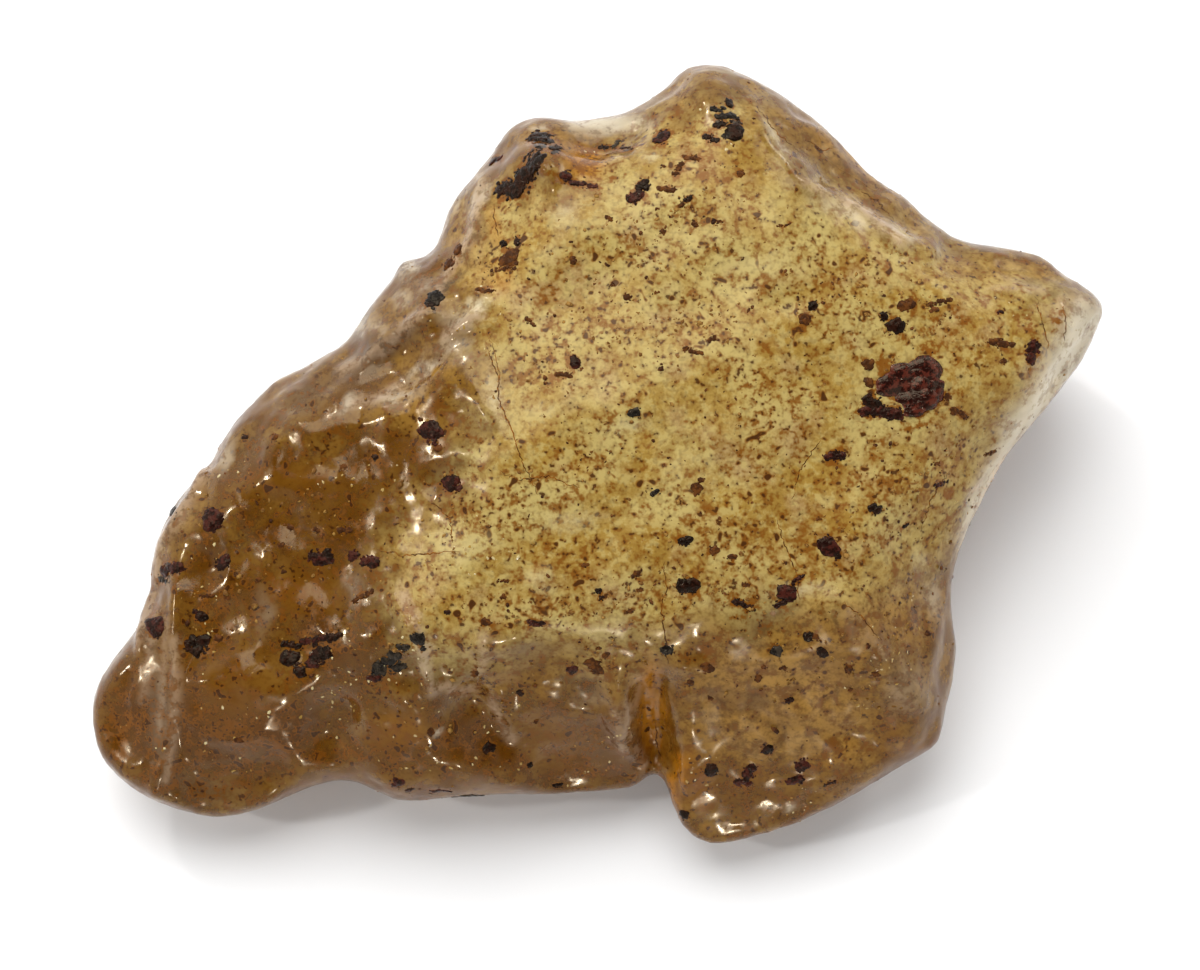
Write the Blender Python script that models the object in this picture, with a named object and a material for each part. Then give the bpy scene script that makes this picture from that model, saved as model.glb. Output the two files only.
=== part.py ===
"""A piece of raw copal: one solid lump of fossil tree resin, resting on its flattened underside.

The lump is drawn in its own broad plane first. Across that plane u runs right and v runs up, and w stands
out of it, all in millimetres. A closed outline is the lump's widest contour, at w = 0. An upper sheet of
broken faces rises from it and an under sheet falls from it to a flat resting face. The lump then leans
back by LEAN_DEG, so that its broad face looks up and a little forward, and it is set down on z = 0.
"""

import math

import bmesh
import bpy
import numpy as np
from mathutils import Matrix, Vector, noise
from mathutils.geometry import delaunay_2d_cdt

MM = 0.001
NODE = "copal_lump"

# The lump's real length from the tip of its low left lobe to its far right corner. The lists below are drawn
# for DRAWN_LENGTH, so all of them follow LENGTH.
LENGTH = 70.0
DRAWN_LENGTH = 70.0

# How far the broad plane leans back, and how high its middle lies over the table.
LEAN_DEG = 15.0
MID_HEIGHT = 10.6

# Edge radii: of the upper sheet at the outline, of the under sheet at its front and its back, and of the foot.
CROWN_RADIUS = 5.0
UNDERCUT_FRONT = 5.0
UNDERCUT_BACK = 17.0
UNDERCUT_FROM, UNDERCUT_TO = -20.0, 14.0
FOOT_ROUNDING = 1.6
FOOT_CUT = 0.15

# Mesh density: stations round the outline, the rings that follow it as shares of the way to the heart, where
# the even rows start, the rows' spacing on the upper and under sheet, the size of the even mesh laid over
# both, and the faces kept at the end.
HEART = (0.5, -1.3)
STATIONS = 380
RING_SHARES = [0.0, 0.0025, 0.010, 0.022, 0.039, 0.060, 0.086]
ROWS_START = 0.104
UPPER_SPACING = 0.6
UNDER_SPACING = 1.2
EVEN_SPACING = 0.45
FACES_KEPT = 9600

# Ripples: the size of one, its height or reach, and its seed.
FACE_BEND = (9.0, 1.1, 1.5)
FACE_SWELL = (5.2, 0.25, 3.5)
SHELF_SWELL = (1.9, 0.3, 9.5)
FLANK_BEND = (8.0, 2.2, 31.5)
SECOND_SEED = 6.0

# The widest contour, anticlockwise from the tip of the low left lobe. Each point is (u, v).
OUTLINE = [
    # low left lobe and its rounded front
    (-32.8, -16.4), (-32.6, -18.5), (-32.0, -20.0), (-30.7, -21.4), (-28.7, -22.6), (-26.4, -23.4),
    (-24.4, -23.7), (-22.5, -23.3), (-20.3, -22.4), (-18.3, -21.6), (-16.8, -21.3), (-15.4, -21.5),
    # front edge, up to the cleft
    (-14.2, -22.1), (-12.9, -22.6), (-11.2, -22.6), (-9.0, -22.3), (-5.8, -22.2), (-2.6, -22.2),
    (0.4, -22.0), (2.1, -21.8), (3.0, -21.1), (3.4, -20.6), (3.75, -20.5), (4.1, -20.9),
    # right lobe
    (4.4, -22.0), (4.9, -23.5), (5.6, -24.6), (6.8, -25.3), (8.4, -25.3), (10.6, -24.8),
    (13.0, -23.9), (15.5, -22.7), (18.2, -21.1), (20.9, -19.5), (21.9, -18.7), (22.3, -16.8),
    (22.8, -14.7), (23.0, -12.8), (22.75, -10.8), (22.7, -8.6), (23.2, -6.5), (24.1, -4.4),
    # right edge, out to the far right corner
    (25.3, -2.0), (26.4, -0.2), (27.7, 1.4), (29.3, 3.4), (31.0, 5.6), (31.8, 7.2), (32.5, 9.0),
    (32.0, 10.0), (30.7, 10.9), (29.4, 11.7), (28.9, 12.3), (27.2, 12.9), (25.2, 13.2), (23.4, 13.5),
    # back right wall, up to the summit
    (22.2, 14.2), (20.8, 15.2), (19.7, 16.3), (18.4, 17.1), (16.9, 18.3), (15.2, 20.2),
    (13.2, 21.9), (11.2, 23.3), (9.2, 24.3), (7.7, 24.9), (6.4, 24.95), (5.3, 24.5),
    # saddle, knob and the ragged back left ledge
    (4.3, 23.4), (3.1, 22.6), (1.6, 21.8), (-0.1, 21.5), (-1.6, 21.3), (-3.4, 21.5),
    (-5.0, 21.3), (-6.1, 20.5), (-7.0, 19.1), (-8.1, 17.8), (-9.2, 16.5), (-9.95, 15.0),
    (-10.4, 13.6), (-11.0, 12.6), (-11.8, 12.4), (-12.8, 12.2), (-13.5, 10.9), (-14.4, 9.9),
    (-15.4, 8.5), (-16.4, 7.0), (-18.0, 6.0), (-19.5, 5.2),
    # broad left shoulder
    (-21.0, 4.5), (-22.2, 3.3), (-23.4, 2.1), (-24.4, 0.6), (-25.2, -1.0), (-26.4, -2.2),
    (-27.5, -3.6), (-28.4, -5.4), (-28.9, -7.5), (-29.2, -10.0), (-30.1, -11.8), (-31.3, -13.3),
    (-32.3, -14.9),
]


class Facet:
    """A broken face. Along the line from start to end it lies at the two crest heights. It falls at an
    angle beyond the line, on its left side as seen walking from start to end, or the other way if the
    angle is negative."""

    def __init__(self, start, end, crest, fall_deg):
        self.start = np.array(start)
        self.end = np.array(end)
        self.crest = crest
        self.fall = math.tan(math.radians(fall_deg))

    def height(self, u, v):
        along = self.end - self.start
        length = np.linalg.norm(along)
        along = along / length
        du, dv = u - self.start[0], v - self.start[1]
        travelled = du * along[0] + dv * along[1]
        beyond = dv * along[0] - du * along[1]
        slope = (self.crest[1] - self.crest[0]) / length
        return self.crest[0] + slope * travelled - self.fall * beyond


# The resin ran together in lobes. Each lobe is the space under all of its faces, and the upper sheet follows
# the highest lobe. The first number is how far the lobe's own edges are rounded.
LOBES = {
    "broad_body": (0.7, [
        Facet((-4.0, 3.0), (12.0, 3.0), (9.3, 9.3), 8.0),
        Facet((-4.0, -3.0), (12.0, -2.0), (9.3, 9.0), -6.0),
        Facet((10.0, -6.0), (10.0, 14.0), (9.0, 8.7), -10.0),
        Facet((-12.6, -7.0), (-7.0, 9.0), (7.6, 8.4), 24.0),
        Facet((-14.0, 7.6), (-6.4, 19.8), (5.8, 6.4), 62.0),
        Facet((21.4, 11.8), (9.4, 22.4), (6.2, 6.6), -60.0),
        Facet((22.4, -8.0), (25.0, 3.0), (6.2, 6.0), -62.0),
        Facet((-11.6, -13.2), (3.0, -12.6), (7.2, 7.8), -40.0),
    ]),
    "far_right_corner": (0.6, [
        Facet((18.0, 2.0), (29.8, 7.0), (7.2, 5.0), 9.0),
        Facet((24.4, -0.4), (30.6, 8.4), (6.0, 4.6), -64.0),
        Facet((30.6, 9.0), (22.2, 11.6), (4.0, 5.8), -54.0),
        Facet((20.0, -4.0), (19.0, 12.0), (7.4, 6.6), 30.0),
        Facet((18.0, -1.0), (26.0, 0.0), (7.6, 6.6), -45.0),
    ]),
    "right_lobe": (0.8, [
        Facet((5.0, -11.2), (15.6, -10.4), (7.9, 7.9), -27.0),
        Facet((21.6, -19.4), (15.6, -9.6), (2.6, 7.9), -36.0),
        Facet((4.9, -21.0), (4.5, -11.0), (3.4, 8.2), 66.0),
        Facet((22.0, -17.0), (22.0, -6.0), (2.6, 5.0), -66.0),
        Facet((5.0, -9.6), (22.0, -8.0), (8.2, 7.0), 30.0),
    ]),
    "left_shoulder": (1.1, [
        Facet((-12.0, -8.0), (-12.0, 6.0), (7.2, 7.1), 12.0),
        Facet((-27.2, -5.6), (-16.8, 5.0), (4.6, 5.4), 42.0),
        Facet((-26.0, -14.8), (-12.0, -14.8), (5.0, 6.4), -26.0),
        Facet((-27.6, -20.0), (-28.4, -8.0), (3.1, 4.0), 48.0),
        Facet((-10.4, -12.0), (-9.0, 8.0), (7.4, 7.4), -40.0),
    ]),
    "low_left_tip": (0.8, [
        Facet((-30.0, -20.0), (-30.6, -12.0), (2.6, 3.0), 30.0),
        Facet((-30.0, -20.0), (-30.6, -12.0), (2.6, 3.0), -4.0),
        Facet((-27.4, -20.0), (-27.8, -12.0), (2.6, 3.0), -50.0),
    ]),
}
LOBES_RUN_TOGETHER = 0.5

# Knobs and hollows of the upper sheet: centre, radii, turn and height, where a hollow's height is below 0.
RELIEF = [
    # the knob beside the saddle, and the saddle broken out behind the summit
    ((-3.8, 18.4), (3.4, 3.0), 0, 1.2),
    ((1.2, 20.6), (4.2, 2.2), 22, -2.6),
    ((-0.6, 18.4), (2.0, 1.6), 20, -0.9),
    # the trough below the back left wall
    ((-12.2, 5.6), (8.0, 2.2), 34, -1.2),
    # a scoop in the back right ridge, and the dip before the far right corner
    ((16.4, 17.0), (5.4, 2.4), -40, -1.3),
    ((26.6, 11.4), (4.2, 1.5), -14, -1.2),
    # the round bulge of the left lobe, and the dip between it and the front wall
    ((-23.4, -16.6), (4.6, 4.6), 0, 0.9),
    ((-16.8, -17.6), (2.8, 4.6), -8, -1.2),
    # the soft ridge down the left lobe, and the hollow on its outer side
    ((-28.3, -16.0), (1.3, 6.4), 4, 0.55),
    ((-30.7, -17.0), (1.6, 4.0), 6, -0.35),
    # hollows broken out of the front wall, and the rib beside the cleft
    ((-8.4, -17.6), (3.4, 3.2), 10, -0.9),
    ((1.5, -16.6), (1.5, 4.2), 12, 0.9),
    # the broad face's slow swells
    ((-2.0, 9.0), (8.0, 5.0), 20, -0.6),
    ((14.0, -2.0), (8.0, 4.0), 60, -0.5),
    ((2.0, -7.5), (7.0, 4.0), 0, 0.5),
    # the long front face of the right lobe
    ((10.6, -16.5), (4.5, 4.0), 0, 0.5),
]

# Where a wall has fallen away it leaves a shelf: its middle, its radii, its turn, and its height over the rim.
SHELF_HEIGHT = 0.7
SHELF_RADIUS = 1.1
SHELVES = [
    ((-12.4, 10.4), (5.2, 3.6), 45, 1.5),
    ((-28.0, -5.0), (3.0, 5.0), 30, 0.6),
    ((1.6, 21.6), (4.2, 2.4), 20, 0.9),
    ((28.4, 11.6), (4.6, 2.2), -15, 1.6),
]

# The cleft between the front wall and the right lobe, from its mouth inwards. It is deepest at the mouth and
# runs out between the two heights in v.
CLEFT = np.array([(3.7, -20.6), (3.5, -18.5), (3.2, -16.5), (3.3, -14.5), (3.9, -12.5)])
CLEFT_DEPTH = 3.4
CLEFT_HALF_WIDTH = 0.85
CLEFT_RUNS_OUT = (-19.0, -12.0)

# The under sheet follows the deeper of two lobes, each the space over all of its flanks. A flank falls away
# inwards, on the left of its line, and its crest is the depth below the outline along that line.
UNDER_LOBES = {
    "body": (0.9, [
        Facet((-7.0, 21.0), (-27.0, -4.0), (3.0, 1.6), -58.0),
        Facet((10.0, 24.6), (-5.0, 21.6), (4.5, 3.5), -62.0),
        Facet((31.5, 10.6), (12.0, 23.0), (6.5, 4.0), -66.0),
        Facet((24.4, -3.0), (32.4, 8.4), (4.0, 6.0), -62.0),
        Facet((-33.0, -10.0), (-31.0, -22.0), (2.2, 1.8), -44.0),
    ]),
    "right_lobe": (0.9, [
        Facet((21.0, -19.0), (23.0, -5.0), (3.0, 5.0), -60.0),
        Facet((3.0, -23.5), (20.0, -20.0), (3.6, 2.4), -50.0),
        Facet((-6.0, 20.0), (-14.0, -20.0), (14.0, 8.0), -60.0),
        Facet((30.0, 2.0), (0.0, 8.0), (12.0, 14.0), -60.0),
    ]),
}
FLANKS_RUN_TOGETHER = 0.9

# Shell-shaped chips all over, from two sizes of break. Each is a size and a depth. SHAKE is the height of the
# unevenness under them and SHAKE_SIZE its size. Both start a little way from the outline and above the foot.
CHIPS = [(5.2, 0.42), (2.7, 0.14)]
SHAKE = 0.22
SHAKE_SIZE = 3.2
CLEAR_OF_OUTLINE = (0.4, 2.6)
CLEAR_OF_FOOT = (1.0, 2.4)


def smooth_min(a, b, blend):
    """The lower of two heights, with their crossing rounded over about twice the blend."""
    share = np.clip(0.5 + 0.5 * (b - a) / blend, 0.0, 1.0)
    return b * (1 - share) + a * share - blend * share * (1 - share)


def smooth_max(a, b, blend):
    return -smooth_min(-a, -b, blend)


def smooth_step(low, high, x):
    """0 below low and 1 above high, or the other way round where low is the larger."""
    t = np.clip((x - low) / (high - low), 0.0, 1.0)
    return t * t * (3 - 2 * t)


def mound(u, v, centre, radii, turn_deg):
    """1 at the centre, falling smoothly to 0 at an ellipse of the given radii, turned by turn_deg."""
    turn = math.radians(turn_deg)
    du, dv = u - centre[0], v - centre[1]
    across = (du * math.cos(turn) + dv * math.sin(turn)) / radii[0]
    up = (dv * math.cos(turn) - du * math.sin(turn)) / radii[1]
    return smooth_step(1.0, 0.0, np.hypot(across, up))


def ripple(u, v, kind, seed_shift=0.0):
    size, reach, seed = kind
    flat = [
        noise.noise(Vector((a / size, b / size, seed + seed_shift)), noise_basis="PERLIN_NEW")
        for a, b in zip(u, v)
    ]
    return reach * np.array(flat)


def bent(u, v, kind):
    """The same points, moved a little to and fro, so that straight edges drawn through them wander."""
    return u + ripple(u, v, kind), v + ripple(u, v, kind, SECOND_SEED)


def lobes_height(u, v, lobes, run_together):
    """The highest of the lobes, and at least 0. A lobe is a rounding and the faces that close it."""
    highest = np.zeros_like(u)
    for rounding, facets in lobes.values():
        lobe = facets[0].height(u, v)
        for facet in facets[1:]:
            lobe = smooth_min(lobe, facet.height(u, v), rounding)
        highest = smooth_max(highest, lobe, run_together)
    return highest


def rounded_outline():
    """A Catmull-Rom curve through the outline's points, resampled at even steps along its length."""
    knots = np.array(OUTLINE)
    before, after, beyond = np.roll(knots, 1, 0), np.roll(knots, -1, 0), np.roll(knots, -2, 0)
    line = after - before
    square = 2 * before - 5 * knots + 4 * after - beyond
    cube = 3 * knots - before - 3 * after + beyond
    parts = [knots + 0.5 * (line * t + square * t**2 + cube * t**3) for t in np.arange(0, 1, 1 / 12)]
    curve = np.stack(parts, axis=1).reshape(-1, 2)
    closed = np.vstack([curve, curve[:1]])
    travelled = np.concatenate([[0], np.cumsum(np.linalg.norm(np.diff(closed, axis=0), axis=1))])
    steps = np.linspace(0, travelled[-1], STATIONS, endpoint=False)
    return np.stack([np.interp(steps, travelled, closed[:, i]) for i in (0, 1)], axis=1)


def distance_to_line(u, v, starts, ends):
    """How far each (u, v) lies from the nearest of the straight pieces from starts to ends."""
    nearest = np.full(u.shape, np.inf)
    for a, b in zip(starts, ends):
        along = b - a
        share = np.clip(((u - a[0]) * along[0] + (v - a[1]) * along[1]) / (along @ along), 0, 1)
        gap = np.hypot(u - a[0] - share * along[0], v - a[1] - share * along[1])
        nearest = np.minimum(nearest, gap)
    return nearest


def shelf_height(u, v, inside):
    """The low shelf round the outline, which shows wherever a wall has fallen away above it."""
    level = SHELF_HEIGHT + ripple(u, v, SHELF_SWELL)
    for centre, radii, turn, rise in SHELVES:
        level = level + rise * mound(u, v, centre, radii, turn)
    return smooth_min(np.sqrt(2 * SHELF_RADIUS * inside), level, 0.5)


def cleft_depth(u, v, inside):
    groove = np.exp(-((distance_to_line(u, v, CLEFT[:-1], CLEFT[1:]) / CLEFT_HALF_WIDTH) ** 2))
    deep, shallow = CLEFT_RUNS_OUT
    return CLEFT_DEPTH * groove * smooth_step(shallow, deep, v) * smooth_step(0.0, 1.2, inside)


def upper_sheet(u, v, inside):
    """Height of the upper sheet. inside is each point's distance from the outline."""
    lobes = lobes_height(*bent(u, v, FACE_BEND), LOBES, LOBES_RUN_TOGETHER)
    height = smooth_min(np.sqrt(2 * CROWN_RADIUS * inside), lobes, 0.8)
    open_share = smooth_step(0.0, 2.5, inside)
    for centre, radii, turn, rise in RELIEF:
        height = height + rise * open_share * mound(u, v, centre, radii, turn)
    height = height + open_share * ripple(u, v, FACE_SWELL)
    shelf = shelf_height(u, v, inside)
    height = smooth_max(height, shelf, 0.5)
    return np.maximum(height - cleft_depth(u, v, inside), 0.3 * shelf)


def under_sheet(u, v, inside):
    """Depth of the under sheet, down to the plane that becomes the resting face."""
    back_share = smooth_step(UNDERCUT_FROM, UNDERCUT_TO, v)
    undercut = UNDERCUT_FRONT + (UNDERCUT_BACK - UNDERCUT_FRONT) * back_share
    lobes = lobes_height(*bent(u, v, FLANK_BEND), UNDER_LOBES, FLANKS_RUN_TOGETHER)
    lobes = smooth_max(np.sqrt(inside), lobes, FLANKS_RUN_TOGETHER)
    depth = smooth_min(np.sqrt(2 * undercut * inside), lobes, FLANKS_RUN_TOGETHER)
    lean = math.radians(LEAN_DEG)
    floor = (MID_HEIGHT + v * math.sin(lean)) / math.cos(lean)
    return -smooth_min(depth, floor, FOOT_ROUNDING)


def within(points, ring):
    """Which of the points lie inside the closed ring."""
    inside = np.zeros(len(points), bool)
    u, v = points[:, 0], points[:, 1]
    for a, b in zip(ring, np.roll(ring, -1, 0)):
        if a[1] != b[1]:
            crosses = (a[1] > v) != (b[1] > v)
            inside ^= crosses & (u < a[0] + (v - a[1]) * (b[0] - a[0]) / (b[1] - a[1]))
    return inside


def sheet_layout(rim, spacing):
    """Points and triangles that fill the outline: rings that follow it, then even rows inside them."""
    heart = np.array(HEART)
    rings = [heart + (rim - heart) * (1 - share) for share in RING_SHARES]
    low, high = rim.min(0), rim.max(0)
    rows = []
    for k, v in enumerate(np.arange(low[1], high[1], spacing * math.sqrt(3) / 2)):
        stagger = spacing / 2 * (k % 2)
        rows.extend((u, v) for u in np.arange(low[0] + stagger, high[0], spacing))
    rows = np.array(rows)
    rows = rows[within(rows, heart + (rim - heart) * (1 - ROWS_START))]
    points = np.vstack(rings + [rows])
    edges = [(i, (i + 1) % STATIONS) for i in range(STATIONS)]
    _, _, faces, came_from, _, _ = delaunay_2d_cdt([Vector(p) for p in points], edges, [], 1, 1e-6)
    return points, [[came_from[i][0] for i in face] for face in faces]


def two_sheets():
    """The closed surface: the upper sheet and the under sheet, joined all round along the outline."""
    rim = rounded_outline()
    made = bmesh.new()
    rim_ring = [made.verts.new((u, v, 0.0)) for u, v in rim]
    for spacing, height_of, upper in ((UPPER_SPACING, upper_sheet, True), (UNDER_SPACING, under_sheet, False)):
        points, faces = sheet_layout(rim, spacing)
        u, v = points[STATIONS:].T
        w = height_of(u, v, distance_to_line(u, v, rim, np.roll(rim, -1, 0)))
        verts = rim_ring + [made.verts.new(spot) for spot in zip(u, v, w)]
        for face in faces:
            corners = [verts[i] for i in face]
            made.faces.new(corners if upper else corners[::-1])
    return made


def set_down(made):
    """Leans the lump back, gives it its real size, and centres it over the origin on z = 0."""
    lean = Matrix.Rotation(math.radians(LEAN_DEG), 4, "X")
    size = Matrix.Scale(MM * LENGTH / DRAWN_LENGTH, 4)
    made.transform(size @ lean)
    spots = np.array([vert.co for vert in made.verts])
    low, high = spots.min(0), spots.max(0)
    middle = (low + high) / 2
    made.transform(Matrix.Translation((-middle[0], -middle[1], -low[2])))


def evened(mesh):
    """The same closed surface as an even mesh."""
    rough = bpy.data.objects.new("rough_lump", mesh)
    bpy.context.scene.collection.objects.link(rough)
    remesh = rough.modifiers.new("even", "REMESH")
    remesh.mode = "VOXEL"
    remesh.voxel_size = MM * EVEN_SPACING
    settled = rough.evaluated_get(bpy.context.evaluated_depsgraph_get())
    even = bpy.data.meshes.new_from_object(settled)
    bpy.data.objects.remove(rough)
    return even


def chip_hollow(spot, size):
    """A chip's hollow at this spot: 1 over its floor, 0 along the sharp edges where two chips meet."""
    bend = noise.noise_vector(spot / (1.6 * size), noise_basis="PERLIN_NEW")
    seed = Vector((10.0, 10.0, 10.0))
    near, _ = noise.voronoi(spot / size + 0.45 * bend + seed)
    return smooth_step(0.0, 0.7, near[1] - near[0])


def break_surface(mesh):
    """Shakes the even mesh a little and chips it, but not along its outline, where w is 0, nor on its foot."""
    lean_back = Matrix.Rotation(math.radians(-LEAN_DEG), 3, "X")
    normals = [vert.normal.copy() for vert in mesh.vertices]
    for vert, normal in zip(mesh.vertices, normals):
        spot = vert.co / MM
        w = (lean_back @ (spot - Vector((0, 0, MID_HEIGHT))))[2]
        share = smooth_step(*CLEAR_OF_OUTLINE, abs(w)) * smooth_step(*CLEAR_OF_FOOT, spot.z)
        rise = SHAKE * noise.noise(spot / SHAKE_SIZE, noise_basis="PERLIN_NEW")
        rise -= sum(depth * chip_hollow(spot, size) for size, depth in CHIPS)
        vert.co += MM * float(share * rise) * normal


def cut_foot(mesh):
    """Cuts the resting face flat, a little way up, and sets it back on z = 0."""
    made = bmesh.new()
    made.from_mesh(mesh)
    cut = bmesh.ops.bisect_plane(
        made,
        geom=made.verts[:] + made.edges[:] + made.faces[:],
        plane_co=(0, 0, FOOT_CUT * MM),
        plane_no=(0, 0, -1),
        clear_outer=True,
    )
    loop = [item for item in cut["geom_cut"] if isinstance(item, bmesh.types.BMEdge)]
    bmesh.ops.triangle_fill(made, edges=loop, use_beauty=True, normal=(0, 0, -1))
    made.transform(Matrix.Translation((0, 0, -FOOT_CUT * MM)))
    bmesh.ops.triangulate(made, faces=made.faces[:])
    made.to_mesh(mesh)
    made.free()


def copal_material():
    material = bpy.data.materials.new("copal")
    material.use_nodes = True
    shader = material.node_tree.nodes["Principled BSDF"]
    shader.inputs["Base Color"].default_value = (0.50, 0.31, 0.10, 1)
    shader.inputs["Roughness"].default_value = 0.2
    shader.inputs["Metallic"].default_value = 0.0
    shader.inputs["IOR"].default_value = 1.54
    return material


def build_lump():
    made = two_sheets()
    set_down(made)
    rough = bpy.data.meshes.new("rough")
    made.to_mesh(rough)
    made.free()
    mesh = evened(rough)
    mesh.name = NODE
    break_surface(mesh)
    cut_foot(mesh)
    mesh.materials.append(copal_material())
    mesh.shade_smooth()
    lump = bpy.data.objects.new(NODE, mesh)
    bpy.context.scene.collection.objects.link(lump)
    fewer = lump.modifiers.new("fewer_faces", "DECIMATE")
    fewer.ratio = FACES_KEPT / len(mesh.polygons)


def main():
    for old in list(bpy.data.objects):
        bpy.data.objects.remove(old)
    build_lump()


main()
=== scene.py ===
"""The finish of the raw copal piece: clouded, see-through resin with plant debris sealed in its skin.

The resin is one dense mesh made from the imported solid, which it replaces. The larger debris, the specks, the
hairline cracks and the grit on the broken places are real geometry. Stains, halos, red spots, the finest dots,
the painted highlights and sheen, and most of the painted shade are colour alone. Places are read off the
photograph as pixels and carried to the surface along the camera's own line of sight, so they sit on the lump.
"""

import math
import random

import bmesh
import bpy
import numpy as np
from mathutils import Matrix, Vector, noise
from mathutils.bvhtree import BVHTree


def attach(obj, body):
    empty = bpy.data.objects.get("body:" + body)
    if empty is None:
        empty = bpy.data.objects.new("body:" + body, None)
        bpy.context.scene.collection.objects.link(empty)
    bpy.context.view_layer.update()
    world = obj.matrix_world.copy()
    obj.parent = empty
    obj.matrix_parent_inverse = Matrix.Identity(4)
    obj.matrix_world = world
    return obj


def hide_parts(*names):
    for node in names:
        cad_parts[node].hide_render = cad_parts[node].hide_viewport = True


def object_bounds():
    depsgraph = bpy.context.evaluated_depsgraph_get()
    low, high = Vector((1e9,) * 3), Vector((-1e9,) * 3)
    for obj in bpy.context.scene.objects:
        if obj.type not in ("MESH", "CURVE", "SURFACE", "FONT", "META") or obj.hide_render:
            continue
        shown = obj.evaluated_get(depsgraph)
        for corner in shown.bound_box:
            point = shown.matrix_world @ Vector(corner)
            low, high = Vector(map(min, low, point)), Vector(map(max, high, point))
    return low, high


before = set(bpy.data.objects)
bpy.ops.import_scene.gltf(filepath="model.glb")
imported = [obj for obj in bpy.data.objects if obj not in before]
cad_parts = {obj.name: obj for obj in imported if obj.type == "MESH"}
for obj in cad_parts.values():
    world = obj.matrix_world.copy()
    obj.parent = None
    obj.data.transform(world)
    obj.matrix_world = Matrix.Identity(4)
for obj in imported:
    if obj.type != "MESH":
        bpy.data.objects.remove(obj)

CAD_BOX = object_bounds()
NODE = "copal_lump"
BODY = "root"
MM = 0.001

# The photograph's frame in pixels, and the camera that took it: a long lens, looking down over the lump's
# broad face, which leans back by LEAN.
PICTURE_WIDTH, PICTURE_HEIGHT = 1200, 970
PIXELS_PER_MM = 15.5
LENS, SENSOR = 160.0, 36.0
LEAN = math.radians(15.0)
AIM = np.array((0.163, -2.070, 10.016)) * MM
FOCAL = LENS / SENSOR * PICTURE_WIDTH
TURN = np.array(Matrix.Rotation(LEAN, 3, "X"))
TO_CAMERA = TURN[:, 2]
CAMERA_PLACE = AIM + TO_CAMERA * FOCAL / PIXELS_PER_MM * MM


# ---------- places read off the photograph, in pixels

# The bright broad face, inside the browner skin.
BROAD_FACE = [
    (500, 205), (560, 190), (620, 160), (690, 112), (745, 100), (790, 175), (880, 228), (960, 262),
    (1060, 300), (1085, 325), (1040, 400), (990, 455), (962, 520), (930, 566), (860, 592), (780, 600),
    (700, 622), (650, 640), (600, 650), (520, 645), (430, 655), (405, 590), (400, 540), (455, 500),
    (490, 430), (488, 370), (480, 330), (470, 270),
]

# Patches of colour: x, y, half length, half width, turn, strength. A turn is anticlockwise, in degrees.
PALE_AND_HIGHLIGHT_PATCHES = [
    # painted highlights and cloudy places of the valley, the back ridge and the broad face
    (478, 305, 24, 14, 30, 0.95), (462, 322, 34, 14, 10, 0.5), (395, 394, 40, 9, 20, 0.55),
    (425, 372, 30, 9, 30, 0.6), (345, 405, 10, 22, -10, 0.6), (845, 212, 60, 13, -30, 0.6),
    (773, 145, 14, 36, 24, 0.55), (897, 238, 26, 8, -36, 0.6), (560, 215, 20, 30, 0, 0.45),
    (630, 425, 30, 16, 20, 0.6), (575, 520, 44, 18, 0, 0.6), (540, 580, 20, 18, 0, 0.6),
    (470, 545, 44, 22, 10, 0.4), (800, 588, 50, 12, 12, 0.5), (495, 400, 10, 44, 12, 0.5),
    (455, 350, 34, 20, 20, 0.4), (690, 470, 50, 30, 10, 0.25), (760, 260, 60, 20, 10, 0.3),
    (920, 560, 26, 20, 20, 0.4), (355, 590, 14, 22, 0, 0.3), (540, 410, 22, 16, 0, 0.35),
    # the pale strip down the right wall, and the far right corner
    (1098, 318, 16, 34, -20, 0.6), (974, 540, 14, 60, -18, 0.6), (1085, 300, 14, 10, 0, 0.5),
    # the saddle and the back left ledge
    (606, 126, 48, 13, 4, 0.7), (655, 158, 18, 12, 10, 0.6), (410, 272, 12, 16, -20, 0.4),
    (480, 200, 9, 26, -24, 0.6), (425, 285, 16, 12, 30, 0.3), (375, 325, 16, 16, 30, 0.3),
    (540, 126, 22, 8, 0, 0.5), (413, 263, 14, 14, 0, 0.6), (406, 299, 12, 20, -30, 0.35),
    (363, 324, 14, 18, -40, 0.45), (462, 200, 9, 30, -24, 0.5),
    # the front wall, the lobes and their broken places, with painted highlights on their ridges
    (930, 600, 16, 34, 0, 0.4), (590, 700, 30, 12, 0, 0.15), (262, 610, 16, 44, 0, 0.15),
    (158, 700, 15, 95, 4, 0.08), (428, 655, 9, 44, 8, 0.6), (440, 735, 11, 9, 0, 0.8),
    (790, 808, 16, 8, 30, 0.7), (228, 455, 7, 30, -20, 0.4), (905, 690, 30, 40, -20, 0.2),
]
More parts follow.
